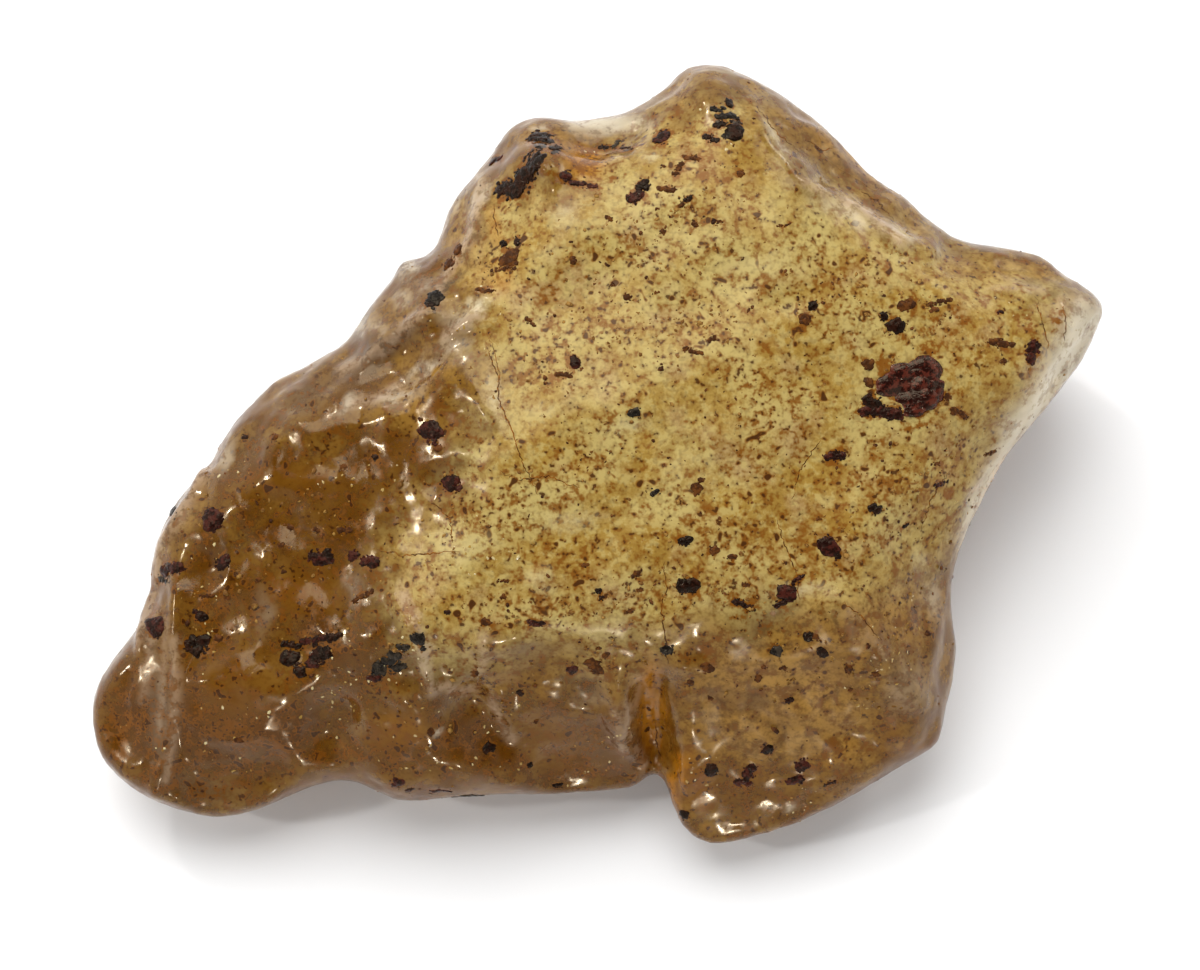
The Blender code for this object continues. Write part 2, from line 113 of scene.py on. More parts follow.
BROWN_PATCHES = [
    (395, 440, 34, 28, 0, 0.8), (435, 500, 16, 26, 10, 0.8), (330, 540, 60, 30, 0, 0.55),
    (240, 740, 60, 40, 0, 0.7), (125, 725, 22, 34, 0, 0.9), (400, 715, 48, 34, 0, 0.8),
    (520, 745, 60, 24, 0, 0.6), (620, 770, 44, 18, 0, 0.7), (700, 655, 24, 34, 0, 0.75),
    (940, 310, 36, 24, 10, 0.7), (1055, 318, 12, 24, -8, 0.9), (1030, 326, 10, 16, 0, 0.8),
    (1000, 345, 16, 9, 0, 0.9), (905, 388, 52, 36, 15, 0.75), (855, 440, 12, 34, -20, 0.8),
    (960, 440, 26, 26, 0, 0.6), (950, 492, 18, 16, 0, 0.7), (840, 265, 34, 14, 14, 0.7),
    (760, 285, 60, 16, 12, 0.35), (640, 330, 50, 14, -18, 0.6), (510, 280, 30, 34, 0, 0.6),
    (720, 210, 36, 40, 0, 0.35), (588, 165, 34, 26, -10, 1.0), (545, 170, 26, 20, 0, 0.6),
    (560, 560, 60, 16, 0, 0.5), (640, 540, 44, 30, 0, 0.4), (740, 590, 50, 14, -10, 0.55),
    (590, 380, 30, 16, 0, 0.55), (840, 520, 34, 40, 0, 0.5), (905, 500, 34, 24, 0, 0.35),
    (780, 720, 40, 24, 0, 0.4), (880, 640, 26, 30, 0, 0.4), (700, 790, 26, 34, 0, 0.6),
    (300, 470, 50, 30, 20, 0.4), (430, 260, 20, 26, 0, 0.5), (1010, 262, 50, 10, -8, 0.6),
    (860, 180, 60, 12, -38, 0.4), (500, 600, 46, 14, 0, 0.55), (225, 610, 26, 22, 0, 0.4),
    (800, 540, 130, 60, 0, 0.6), (900, 480, 90, 70, 0, 0.6), (620, 590, 130, 40, 0, 0.5),
    (960, 370, 90, 60, 30, 0.4), (430, 750, 170, 60, 0, 0.95), (250, 735, 150, 90, 0, 1.0),
    (125, 730, 60, 90, 0, 1.0), (190, 725, 170, 120, 0, 1.0), (290, 600, 190, 110, 0, 0.75),
    (330, 500, 180, 90, 30, 0.65), (580, 740, 140, 60, 0, 0.8), (350, 690, 120, 90, 0, 0.7),
    (750, 800, 100, 50, 0, 0.5),
]
AMBER_PATCHES = [
    (652, 715, 26, 70, 4, 1.0), (650, 680, 20, 34, 0, 0.9), (678, 785, 18, 60, -14, 1.0),
    (586, 164, 36, 28, -10, 0.8), (240, 700, 80, 60, 0, 0.12), (400, 730, 50, 34, 0, 0.3),
    (300, 590, 60, 40, 0, 0.15), (560, 740, 70, 36, 0, 0.15), (700, 790, 30, 40, 0, 0.3),
    (300, 480, 60, 40, 0, 0.15), (500, 280, 30, 30, 0, 0.35), (495, 230, 14, 30, 0, 0.4),
]
TAN_PATCHES = [
    (780, 700, 170, 120, 0, 1.0), (860, 620, 120, 90, 0, 0.8), (560, 690, 120, 50, 0, 0.45),
    (420, 400, 90, 60, 40, 0.5), (440, 560, 70, 90, 0, 0.7), (480, 250, 50, 90, 0, 0.7),
    (860, 160, 110, 40, -36, 0.9), (1020, 270, 80, 20, -10, 0.7), (560, 150, 60, 40, 0, 0.6),
]
VEIL_AND_SHEEN_PATCHES = [
    # clouded, greyer skin and painted sheen: the slope under the back left ridge, the crease and the low rim
    # of the left lobe
    (375, 358, 74, 22, 34, 0.9), (305, 398, 60, 28, 46, 0.8), (250, 452, 50, 22, 60, 0.5),
    (432, 300, 34, 16, 45, 0.6), (160, 715, 20, 90, 3, 0.75), (205, 788, 80, 18, -18, 0.6),
    (122, 655, 40, 18, 62, 0.6), (900, 660, 60, 34, -48, 0.4), (300, 800, 60, 12, 14, 0.5),
]
# Painted shade: dark patches and lines in grooves, dents, under ledges, along the back walls and in the cleft.
PAINTED_SHADE_PATCHES = [
    (184, 500, 9, 44, -32, 1.0), (450, 285, 44, 9, 42, 0.8), (385, 342, 50, 12, 30, 0.8),
    (468, 245, 10, 30, -30, 0.5), (600, 145, 50, 5, -12, 0.9), (150, 640, 9, 40, 8, 0.5),
    (185, 800, 60, 9, -18, 0.5), (430, 793, 40, 7, 4, 0.7), (680, 800, 8, 40, -18, 0.5),
    (520, 700, 30, 24, 0, 0.4), (575, 690, 50, 26, 0, 0.35), (235, 540, 40, 30, 0, 0.3),
    (350, 640, 60, 60, 0, 0.35), (860, 175, 50, 9, -38, 0.5), (1000, 252, 50, 8, -8, 0.5),
]
FIELDS = {"pale_and_highlight": PALE_AND_HIGHLIGHT_PATCHES, "brown": BROWN_PATCHES, "amber": AMBER_PATCHES, "tan": TAN_PATCHES,
          "veil_and_sheen": VEIL_AND_SHEEN_PATCHES, "painted_shade": PAINTED_SHADE_PATCHES}

# Where the skin is broken and gritty.
BROKEN_PATCHES = [
    (425, 650, 18, 50, 8, 1.0), (885, 655, 30, 60, -30, 0.9), (800, 800, 34, 16, 30, 0.9),
    (400, 610, 12, 30, 20, 0.9), (470, 310, 36, 22, 20, 0.7), (615, 740, 20, 30, -20, 0.9),
    (500, 720, 16, 30, -30, 0.8), (340, 690, 30, 60, 0, 0.7), (250, 712, 40, 10, 0, 0.7),
    (240, 450, 20, 30, 0, 0.6), (350, 480, 60, 24, 0, 0.5), (200, 640, 20, 40, 0, 0.5),
    (600, 150, 40, 8, 0, 0.8), (1010, 305, 24, 10, -20, 0.8), (700, 775, 36, 24, 0, 0.6),
    (470, 560, 70, 40, 0, 0.45), (724, 116, 16, 24, 0, 1.0), (380, 660, 26, 26, 0, 0.7),
    (690, 100, 18, 14, 20, 0.6), (225, 745, 60, 40, 0, 0.25), (440, 755, 90, 30, 0, 0.25),
    (560, 770, 70, 16, 0, 0.3), (410, 625, 10, 30, 24, 0.8), (205, 560, 30, 40, 0, 0.4),
]

# Ridges and grooves: their points, half width in pixels, and height in millimetres, below 0 for a groove.
RIDGES = [
    ([(372, 352), (400, 330), (432, 314)], 5, 0.25),
    ([(750, 104), (770, 150), (797, 183), (845, 205), (895, 240), (932, 252)], 8, 0.22),
    ([(395, 600), (414, 632), (424, 664), (430, 690)], 6, 0.3),
    ([(838, 600), (868, 636), (884, 662), (922, 706)], 9, 0.2),
    ([(177, 590), (176, 660), (168, 730), (158, 790)], 7, 0.3),
    ([(146, 600), (140, 660), (134, 700)], 6, 0.2),
    ([(206, 474), (186, 505), (166, 540)], 5, 0.25),
    ([(350, 404), (400, 388), (440, 360)], 6, -0.2),
    ([(575, 140), (600, 148), (628, 150)], 5, -0.15),
    ([(455, 335), (490, 300), (470, 290)], 6, 0.25),
    ([(640, 770), (655, 735), (652, 700), (645, 676)], 5, 0.25),
    ([(670, 690), (676, 740), (690, 790)], 5, 0.2),
    ([(500, 695), (520, 730)], 6, 0.2),
    ([(605, 715), (628, 752)], 6, 0.25),
]

# Knobs and dents: middle, half length and half width, turn, and height in millimetres, below 0 for a dent.
DENTS = [
    ((586, 166), (28, 20), -10, 0.35), ((545, 168), (16, 12), 0, 0.25), ((540, 580), (22, 20), 0, 0.15),
    ((905, 388), (38, 24), 12, -0.25), ((312, 652), (30, 20), 10, -0.3), ((470, 700), (26, 22), 0, -0.3),
    ((575, 690), (44, 26), 0, -0.3), ((400, 700), (24, 26), 0, 0.25), ((640, 430), (40, 26), 0, -0.2),
    ((440, 480), (18, 24), 0, -0.25), ((215, 560), (22, 22), 0, -0.2), ((700, 655), (24, 24), 0, -0.3),
    ((765, 740), (24, 30), 0, 0.25), ((850, 700), (40, 34), 0, 0.2), ((650, 500), (50, 30), 0, -0.15),
    ((790, 300), (50, 24), 12, -0.2), ((290, 430), (40, 24), 30, 0.25), ((1030, 330), (20, 20), 0, 0.2),
]

# Sealed debris of each sort: x, y, length, width, turn. Each list runs from the knob and the summit over
# the broad face to the cleft and the right lobe, then along the front wall to the low left lobe.
DEBRIS = {
    "black": [
        (540, 140, 26, 20, 0), (556, 149, 16, 12, 20), (534, 160, 22, 20, 60), (527, 172, 26, 22, 50),
        (512, 188, 36, 22, 10), (604, 147, 12, 7, 0), (626, 148, 14, 6, 0), (729, 103, 9, 12, 10),
        (720, 124, 13, 10, 0), (735, 128, 14, 20, 0), (711, 138, 20, 9, -15), (642, 186, 16, 14, 0),
        (688, 199, 13, 7, 40), (714, 221, 6, 6, 0), (504, 244, 9, 8, 0), (518, 240, 8, 11, -20),
        (430, 303, 12, 10, 0), (813, 306, 9, 12, -20), (884, 316, 9, 10, 0), (896, 325, 9, 18, 20),
        (872, 402, 22, 16, -20), (875, 509, 5, 13, 8), (838, 556, 7, 7, 0), (905, 526, 8, 5, 30),
        (685, 541, 14, 12, 0), (688, 587, 22, 18, -10), (739, 603, 16, 8, -15), (750, 608, 10, 7, -10),
        (808, 636, 10, 12, 0), (822, 652, 9, 12, 0), (790, 700, 9, 7, 0), (767, 749, 15, 12, 30),
        (711, 769, 14, 16, 30), (830, 783, 13, 5, 25), (684, 815, 7, 12, -20), (598, 591, 7, 8, -20),
        (601, 598, 6, 5, 0), (520, 694, 8, 8, 0), (489, 747, 15, 11, 10), (530, 765, 6, 9, 0),
        (558, 785, 11, 6, 0), (447, 612, 6, 6, 0), (375, 457, 8, 8, 0), (245, 437, 8, 7, 0),
        (327, 552, 12, 10, 0), (202, 617, 16, 12, -20), (199, 646, 22, 18, 10), (188, 644, 12, 12, 0),
        (292, 645, 22, 9, -14), (333, 637, 20, 12, 18), (292, 661, 8, 24, 28), (300, 673, 8, 14, 30),
        (318, 655, 24, 20, 20), (326, 652, 14, 14, 0),
    ],
    "wine": [
        (497, 160, 16, 9, 25), (583, 184, 34, 8, -10), (566, 176, 14, 12, 0), (662, 137, 21, 16, 10),
        (636, 196, 20, 14, 30), (575, 362, 10, 14, 0), (1034, 347, 13, 15, 20), (1031, 358, 11, 14, -15),
        (1000, 312, 8, 5, 10), (886, 412, 34, 16, -4), (866, 412, 14, 12, 0), (835, 456, 24, 12, 10),
        (940, 484, 16, 6, 15), (828, 545, 12, 22, 15), (798, 579, 14, 7, 30), (788, 592, 8, 20, -30),
        (780, 604, 14, 8, 20), (750, 772, 18, 14, 40), (742, 782, 18, 10, 0), (802, 766, 13, 18, -20),
        (795, 780, 20, 12, 20), (572, 670, 13, 11, 0), (536, 623, 20, 8, -4), (397, 783, 14, 12, 0),
        (410, 790, 9, 7, 0), (440, 791, 26, 6, 3), (432, 434, 13, 26, 0), (450, 482, 20, 20, 0),
        (458, 488, 10, 8, 0), (213, 519, 11, 24, 0), (222, 562, 17, 15, 30), (170, 570, 26, 15, 12),
        (320, 558, 26, 17, 0), (352, 556, 14, 12, 30), (370, 562, 22, 13, -10), (196, 612, 9, 7, 0),
        (155, 628, 10, 24, 0), (313, 640, 26, 10, 10), (312, 662, 14, 16, 10), (375, 678, 14, 10, 0),
    ],
    "brown": [
        (691, 158, 22, 8, -10), (680, 166, 12, 9, 50), (675, 174, 9, 5, 0), (667, 189, 20, 8, -8),
        (681, 204, 7, 7, 40), (663, 166, 6, 5, 0), (720, 222, 7, 5, 0), (695, 225, 7, 7, 0),
        (663, 232, 7, 6, 0), (741, 173, 9, 8, 0), (609, 218, 10, 6, -30), (509, 258, 20, 20, 0),
        (484, 290, 20, 7, -5), (502, 269, 26, 6, 10), (458, 250, 9, 13, 0), (449, 263, 14, 14, 30),
        (612, 285, 6, 5, 0), (573, 260, 6, 9, 10), (627, 297, 9, 10, 0), (530, 322, 16, 6, -40),
        (564, 375, 18, 8, 0), (657, 293, 6, 4, 0), (693, 351, 22, 7, -10), (712, 339, 12, 6, 35),
        (785, 225, 16, 4, 10), (805, 319, 10, 12, 0), (907, 304, 18, 14, 10), (940, 302, 26, 7, 15),
        (1001, 343, 26, 11, -5), (1004, 361, 7, 7, 0), (868, 364, 12, 12, 0), (868, 381, 7, 12, 30),
        (959, 413, 22, 9, -30), (948, 397, 10, 8, 0), (936, 464, 12, 5, 10), (990, 453, 16, 5, 20),
        (697, 489, 10, 12, 0), (701, 480, 7, 6, 0), (714, 551, 11, 12, 0), (732, 557, 10, 8, 0),
        (708, 668, 14, 12, 0), (815, 637, 9, 9, 0), (848, 668, 9, 11, 10), (690, 683, 7, 8, 0),
        (710, 699, 7, 6, -20), (758, 678, 8, 9, 20), (764, 667, 6, 6, 0), (783, 668, 7, 6, 0),
        (876, 674, 10, 9, 0), (745, 585, 8, 6, 0), (850, 690, 6, 5, 0), (594, 664, 7, 20, 0),
        (606, 655, 8, 8, 0), (598, 648, 6, 5, 20), (585, 565, 7, 5, 0), (637, 574, 9, 9, 0),
        (485, 622, 10, 10, 0), (503, 581, 14, 5, 0), (503, 597, 6, 6, 0), (536, 722, 6, 6, 0),
        (431, 732, 7, 9, 0), (475, 673, 9, 11, 0), (630, 611, 7, 6, 0), (640, 590, 8, 6, 0),
        (438, 447, 10, 10, 0), (343, 467, 8, 7, 0), (275, 437, 7, 9, 0), (345, 530, 15, 8, 0),
        (290, 527, 9, 7, 0), (316, 530, 8, 7, 0), (281, 545, 8, 6, 0), (362, 597, 28, 7, 30),
        (218, 638, 10, 10, 0), (207, 596, 16, 5, 0), (227, 598, 8, 8, 0), (238, 740, 9, 7, 0),
        (258, 580, 6, 6, 0), (284, 572, 6, 5, 0),
    ],
    "grey": [
        (616, 145, 12, 8, 30), (717, 110, 16, 8, -10), (728, 117, 22, 12, 0), (727, 136, 10, 8, 0),
        (435, 299, 15, 20, -20), (635, 413, 14, 12, 0), (655, 492, 10, 8, 0), (667, 650, 13, 13, 0),
        (777, 650, 13, 13, 0), (418, 639, 14, 14, 0), (163, 580, 14, 12, 0), (172, 512, 10, 16, 30),
        (392, 661, 22, 16, 40), (398, 668, 16, 12, 20), (380, 670, 16, 16, 0), (402, 648, 14, 10, 0),
        (423, 648, 9, 7, 0),
    ],
}

# Spots of red resin round bits of bark, which are colour alone.
RED_SPOTS = [
    (553, 172, 22, 14, 20), (586, 165, 46, 30, -10), (626, 216, 14, 8, 0), (538, 257, 9, 7, 0),
    (811, 336, 10, 8, 20), (934, 325, 22, 18, 30), (953, 316, 12, 12, 0), (1030, 325, 12, 14, 30),
    (1055, 314, 13, 28, 10), (912, 386, 104, 78, 12), (851, 433, 10, 34, -18), (838, 452, 20, 12, 20),
    (995, 442, 14, 12, 30), (950, 494, 14, 12, 0), (702, 595, 16, 6, -15), (706, 652, 15, 20, -30),
    (557, 731, 8, 6, 0), (228, 764, 7, 10, 0), (125, 735, 16, 22, 10), (128, 716, 9, 12, 0),
]

# How dark each sort of debris makes the resin round it, and how far that reaches, as a share of its length.
SHADOWS = {"black": 0.9, "wine": 0.85, "brown": 0.7, "red": 0.42, "grey": 0.6}
SHADOW_REACH = 0.95

# Raised pale seams where runs of resin met, and raised painted highlight lines: their points, half width in
# pixels, and strength.
SEAMS_AND_HIGHLIGHTS = [
    ([(340, 372), (372, 354), (402, 332), (432, 303), (440, 296)], 5, 0.8),
    ([(207, 467), (195, 491), (179, 521), (158, 544), (156, 580)], 7, 0.9),
    ([(380, 354), (421, 317), (456, 263), (472, 236), (476, 213), (482, 183)], 5, 0.8),
    ([(155, 600), (150, 622), (152, 640)], 6, 0.6), ([(152, 594), (138, 648)], 5, 0.7),
    ([(152, 640), (146, 670), (144, 700)], 5, 0.5),
    ([(176, 640), (178, 690), (172, 740), (166, 780)], 5, 0.7),
    ([(168, 620), (164, 680), (160, 730)], 4, 0.5),
    ([(404, 596), (414, 622), (421, 646), (424, 662)], 5, 0.8),
    ([(428, 640), (426, 668), (432, 690), (448, 684), (456, 694), (474, 690)], 5, 0.8),
    ([(484, 636), (484, 656), (480, 670)], 5, 0.6), ([(490, 699), (507, 731), (514, 740)], 4, 0.8),
    ([(629, 705), (626, 726), (634, 745), (642, 764)], 5, 0.7),
    ([(640, 676), (637, 694), (634, 712)], 4, 0.5),
    ([(845, 206), (868, 214), (888, 232), (900, 244)], 6, 0.9), ([(800, 182), (820, 194)], 5, 0.7),
    ([(990, 290), (1020, 287), (1044, 292)], 4, 0.5), ([(1060, 300), (1064, 316), (1060, 330)], 4, 0.6),
    ([(848, 610), (866, 634), (884, 656)], 4, 0.5), ([(352, 404), (380, 396), (398, 386)], 5, 0.8),
    ([(446, 336), (462, 326), (479, 316)], 5, 0.9), ([(616, 712), (625, 747)], 5, 0.7),
]

# The cream edges, where the resin is thin and clear of debris, and the back of the saddle.
CREAM_EDGES = [
    ([(1084, 322), (1068, 352), (1054, 376)], 19, 1.0), ([(1054, 376), (1034, 408), (1016, 432)], 15, 1.0),
    ([(1016, 432), (996, 466), (980, 498), (968, 540)], 10, 0.9),
    ([(575, 124), (606, 124), (640, 122)], 9, 0.6),
]

# The largest scrap of bark: x, y, length, width, turn.
BARK_SCRAP = (911, 387, 74, 62, 10)

# Where small specks crowd together: x, y, half length, half width, turn, how many.
SPECK_CROWDS = [
    (665, 205, 70, 28, -20, 90), (640, 250, 80, 40, 0, 120), (600, 330, 90, 40, 0, 120),
    (700, 330, 80, 50, 0, 90), (840, 290, 110, 40, 10, 150), (930, 330, 70, 40, 0, 110),
    (780, 400, 80, 60, 0, 90), (920, 470, 70, 60, 0, 150), (850, 540, 70, 60, 0, 150),
    (700, 520, 80, 60, 0, 110), (590, 450, 80, 60, 0, 90), (480, 520, 60, 60, 0, 90),
    (520, 610, 100, 30, 0, 160), (650, 590, 90, 34, 0, 150), (740, 600, 50, 20, 0, 60),
    (610, 660, 50, 34, 0, 60), (500, 270, 40, 50, 0, 60), (540, 370, 70, 40, 0, 80),
    (230, 600, 50, 40, 0, 50), (330, 540, 90, 50, 0, 120), (330, 630, 90, 50, 0, 90),
    (260, 480, 70, 50, 0, 60), (380, 700, 50, 60, 0, 60), (800, 680, 110, 60, 0, 110),
    (900, 620, 50, 60, 0, 80), (480, 700, 100, 50, 0, 60), (200, 740, 80, 60, 0, 40),
    (430, 420, 60, 60, 0, 60), (790, 640, 80, 30, 0, 50), (720, 180, 50, 50, 0, 60),
]

# Hairline cracks, and a dark thread of painted shade down the cleft.
CRACKS_AND_CLEFT_SHADE = [
    [(490, 338), (500, 372), (498, 398), (512, 430), (522, 462), (540, 498)],
    [(374, 549), (402, 556), (430, 553), (462, 551)],
    [(664, 562), (666, 588), (662, 612), (666, 640), (668, 672)],
    [(776, 520), (786, 548), (797, 575), (800, 602)],
    [(756, 106), (776, 132), (800, 152)],
    [(808, 140), (822, 150), (836, 148)],
    [(858, 188), (876, 200), (897, 222)],
    [(494, 205), (495, 222), (498, 236)],
    [(489, 350), (494, 366), (500, 382)],
    # this one, down the cleft, is a dark thread of painted shade
    [(655, 720), (657, 744), (664, 768)],
    [(1062, 302), (1066, 322), (1064, 342)],
    [(1036, 296), (1042, 322), (1050, 350)],
    [(500, 470), (520, 480), (548, 476), (580, 488)],
    [(820, 440), (800, 470), (792, 500)],
    [(950, 470), (930, 500), (922, 530)],
    [(842, 602), (862, 616), (880, 640)],
    [(430, 500), (450, 520), (452, 545)],
]

# Where the dice of each piece begin. The sorts of debris take DEBRIS_SEED and the seeds that follow it.
DEBRIS_SEED, BARK_SEED, GRIT_SEED, CRACK_SEED = 100, 31, 71, 53


# ---------- sizes; those times MM are in metres

# The resin's mesh: its squares, how near two points are one, and how often its facets are smoothed away all
# over and again on the broad face, which is worn. The wear sets in from so many pixels outside the face's
# outline to so many inside it, and as the surface turns to the camera.
RESIN_SQUARE = 0.29 * MM
WELD = 0.001 * MM
RESIN_SMOOTHING = 3
FACE_SMOOTHING = 100
WORN_INSIDE = (-10, 25)
WORN_FACING = (0.3, 0.7)
LEAST_WORN = 0.01

# Sums of ripples: height or share, and size in millimetres.
SKIN_RIPPLES = [(0.05, 2.4), (0.04, 1.1), (0.03, 0.6)]
CLOUDS = [(0.6, 4.2), (0.4, 1.9)]
HAZE = [(0.6, 3.2), (0.4, 1.4)]
CROWDS = [(0.55, 4.6), (0.45, 1.8)]

# Relief in millimetres: the share of its ripples that the broad face has lost, pits all over, shell-shaped
# chips and grain where the skin is broken, and the seams.
FACE_EVEN = 0.55
PIT_DEPTH, PIT_CELL, PIT_RIM = 0.05, 1.6, (0.30, 0.06)
CHIP_DEPTH, CHIP_CELL, CHIP_LEVEL = 0.20, 0.95, 0.7
GRAIN_HEIGHT, GRAIN_SIZE = 0.06, 0.5
SEAM_HEIGHT = 0.14

# How drawn edges wander: the size of their bends and frays in millimetres, how many pixels these move them,
# and from where to where, in pixels, the broad face's edge fades in.
BEND_SIZE, FRAY_SIZE, WANDER_SIZE = 3.0, 0.9, 2.0
BEND_REACH, FRAY_REACH, WANDER_REACH = 9, 6, 4.0
SEAM_FRAY, CREAM_FRAY = 2.5, 4
FACE_EDGE, FACE_FRAY, FACE_BEND = (-48, 44), 22, 14

# How far the surface has to face the camera to be seen, and the heights over which relief fades in.
SEEN = (0.0, 0.25)
FOOT_FADE = (0.1 * MM, 1.2 * MM)

# Specks: how thick they are outside the drawn crowds, and how much thicker in them.
CROWD_LEVEL, CROWD_STRENGTH = -0.35, 0.7

# Debris stays FOOT_CLEAR above the foot and, on the unseen sides, BOX_CLEAR inside the solid's box. Its
# lumps are as high as a share of their radius, up to DEBRIS_HEIGHT.
FOOT_CLEAR = 0.8 * MM
BOX_CLEAR = 0.4 * MM
DEBRIS_HEIGHT = 0.14 * MM
DEBRIS_FLATNESS, DEBRIS_UNEVEN = 0.45, 0.22

# The lumps and crumbs of a spot of debris, as shares of its width, how far out its crumbs lie as a share of
# its half length, its smallest crumb, its square pixels to a crumb, and the radii from which a lump is a
# rounder ball.
LUMP_RADII = (0.30, 0.42)
CRUMB_RADII = (0.06, 0.13)
CRUMB_REACH = (0.6, 1.1)
LEAST_CRUMB = 1.1
CRUMB_AREA = 30
ROUNDER, ROUNDEST = 0.12 * MM, 0.3 * MM

# Debris on the unseen sides: spots of each sort, their half widths in millimetres, and the most that they
# face the camera.
BACK_SPOTS = 12
BACK_SPOT = (0.2, 0.55)
BACK_FACING = -0.05

# The scrap of bark: how many lumps it has, how far out they lie and their half lengths and half widths, as
# shares of the scrap's length and width, and their height as a share of their half width.
BARK_LUMPS = 20
BARK_REACH = 0.30
BARK_HALF_LENGTHS, BARK_HALF_WIDTHS = (0.18, 0.28), (0.20, 0.28)
BARK_FLATNESS = 0.36

# Specks in the crowds: seed, share of each crowd, sink and largest radius. Specks all over: how many, radii
# and sink. Radii are in millimetres, and a sink is a share of the radius. SPECK_RADIUS is the least radius
# that a group begins with, and CROWD_SPREAD how far groups stray from a crowd's middle, as a share of its
# half length.
SPECKS = {
    "dark_specks": (7, 0.16, (-0.1, 0.6), 0.24, 500, (0.05, 0.15), (0.2, 1.0)),
    "honey_specks": (8, 0.75, (0.3, 1.0), 0.22, 900, (0.06, 0.18), (0.4, 1.1)),
}
SPECK_RADIUS, CROWD_SPREAD = 0.05, 0.55

# Cracks: the step between their rings and how far these stray, in pixels, then their sides and their
# radius.
THREAD_STEP = 3.0
THREAD_WANDER = 0.8
THREAD_SIDES = 6
CRACK_RADIUS = 0.04 * MM

# Grit: crumbs to a square pixel of a broken patch, how far they stray from its middle, and their radii.
GRIT_SHARE, GRIT_SPREAD = 0.022, 0.5
GRIT_RADII = (0.03 * MM, 0.11 * MM)


# ---------- colours, linear, and finishes

STRAW = (0.58, 0.445, 0.150)
HONEY = (0.43, 0.26, 0.050)
OLIVE = (0.29, 0.155, 0.020)
TAN = (0.36, 0.19, 0.034)
FAWN = (0.58, 0.30, 0.05)
CARAMEL = (0.18, 0.070, 0.005)
RUSSET = (0.115, 0.034, 0.0015)
VEIL_AND_SHEEN_COLOUR = (0.17, 0.10, 0.050)
BEIGE = (0.47, 0.31, 0.145)
TAWNY = (0.085, 0.026, 0.002)
UMBER = (0.055, 0.016, 0.003)
CREAM = (0.88, 0.78, 0.58)
LEMON = (0.70, 0.57, 0.27)
SEAM_AND_HIGHLIGHT_ROSE = (0.58, 0.40, 0.25)
AMBER = (0.58, 0.22, 0.006)
RUST = (0.24, 0.080, 0.006)
PAINTED_SHADE_COLOUR = (0.070, 0.040, 0.020)
CHAR = (0.008, 0.003, 0.002)

# Each piece of debris: its dark colour, its light colour, its roughness and its shine.
DEBRIS_LOOKS = {
    "black_debris": ((0.006, 0.002, 0.001), (0.020, 0.006, 0.003), 0.25, 0.12),
    "wine_debris": ((0.012, 0.003, 0.002), (0.050, 0.011, 0.007), 0.25, 0.12),
    "brown_debris": ((0.040, 0.012, 0.003), (0.10, 0.032, 0.006), 0.5, 0.12),
    "grey_debris": ((0.007, 0.005, 0.004), (0.034, 0.025, 0.017), 0.2, 0.12),
    "bark_scrap": ((0.014, 0.003, 0.002), (0.080, 0.016, 0.009), 0.14, 0.3),
    "hairline_cracks": (UMBER, RUST, 0.4, 0.12),
    "dark_specks": ((0.035, 0.011, 0.004), (0.12, 0.04, 0.010), 0.45, 0.12),
    "honey_specks": ((0.13, 0.055, 0.012), (0.28, 0.15, 0.035), 0.35, 0.12),
}

# The resin: how clear it is, the roughness of its skin, broad face, tan skin and grit, its shine, and what
# it absorbs.
SKIN_CLEAR, FACE_CLEAR = 0.45, 0.3
RESIN_IOR = 1.54
SKIN_GLOSS = (0.105, 0.24)
FACE_GLOSS = 0.32
TAN_GLOSS = 0.40
GRIT_GLOSS = 0.08
RESIN_SHINE = 0.18
RESIN_SHEEN = (1.0, 0.84, 0.60)
ABSORBED = (0.93, 0.74, 0.30)
ABSORPTION_PER_METRE = 90.0

# The size in millimetres of the curds, the pepper and the dots in the resin's colour.
CURD_SIZE, PEPPER_SIZE, DOT_SIZE = 0.95, 0.38, 0.6

# The light tent: the heights, as sines, between which it goes dark, how bright it is below and above them,
# the share of that which is left in front of the lump, and where it fades from front to back.
TENT_OPENS = (0.50, 0.85)
TENT_BRIGHT, TENT_DARK = 1.14, 0.04
TENT_FRONT = 0.75
TENT_TURNS = (-0.5, 0.4)

# Lights: name, place in metres, size in metres, power in watts.
LIGHTS = [
    ("key", (-0.13, 0.40, 0.84), 0.80, 9.0),
    ("rim", (0.45, 0.55, 0.35), 0.20, 0.8),
    ("back_glint", (-0.45, 0.50, 0.50), 0.05, 1.0),
    ("left_glint", (-0.62, -0.09, 0.57), 0.05, 1.1),
    ("front_glint", (0.05, -0.80, 0.38), 0.05, 1.1),
]
LIGHTS_AIM = Vector((0, 0, 0.01))
FLOOR_HALF = 1.5
FLOOR_GREY = (0.93, 0.93, 0.93)


# ---------- the photograph's line of sight

def to_picture(points):
    """Where each point shows in the photograph, in pixels."""
    seen = (points - CAMERA_PLACE) @ TURN
    x = PICTURE_WIDTH / 2 - FOCAL * seen[:, 0] / seen[:, 2]
    y = PICTURE_HEIGHT / 2 + FOCAL * seen[:, 1] / seen[:, 2]
    return x, y


def sight_line(x, y):
    """The direction in which the camera sees a pixel."""
    ahead = np.array(((x - PICTURE_WIDTH / 2) / FOCAL, (PICTURE_HEIGHT / 2 - y) / FOCAL, -1.0))
    return Vector(TURN @ ahead).normalized()


def smooth_step(low, high, x):
    t = np.clip((x - low) / (high - low), 0.0, 1.0)
    return t * t * (3 - 2 * t)


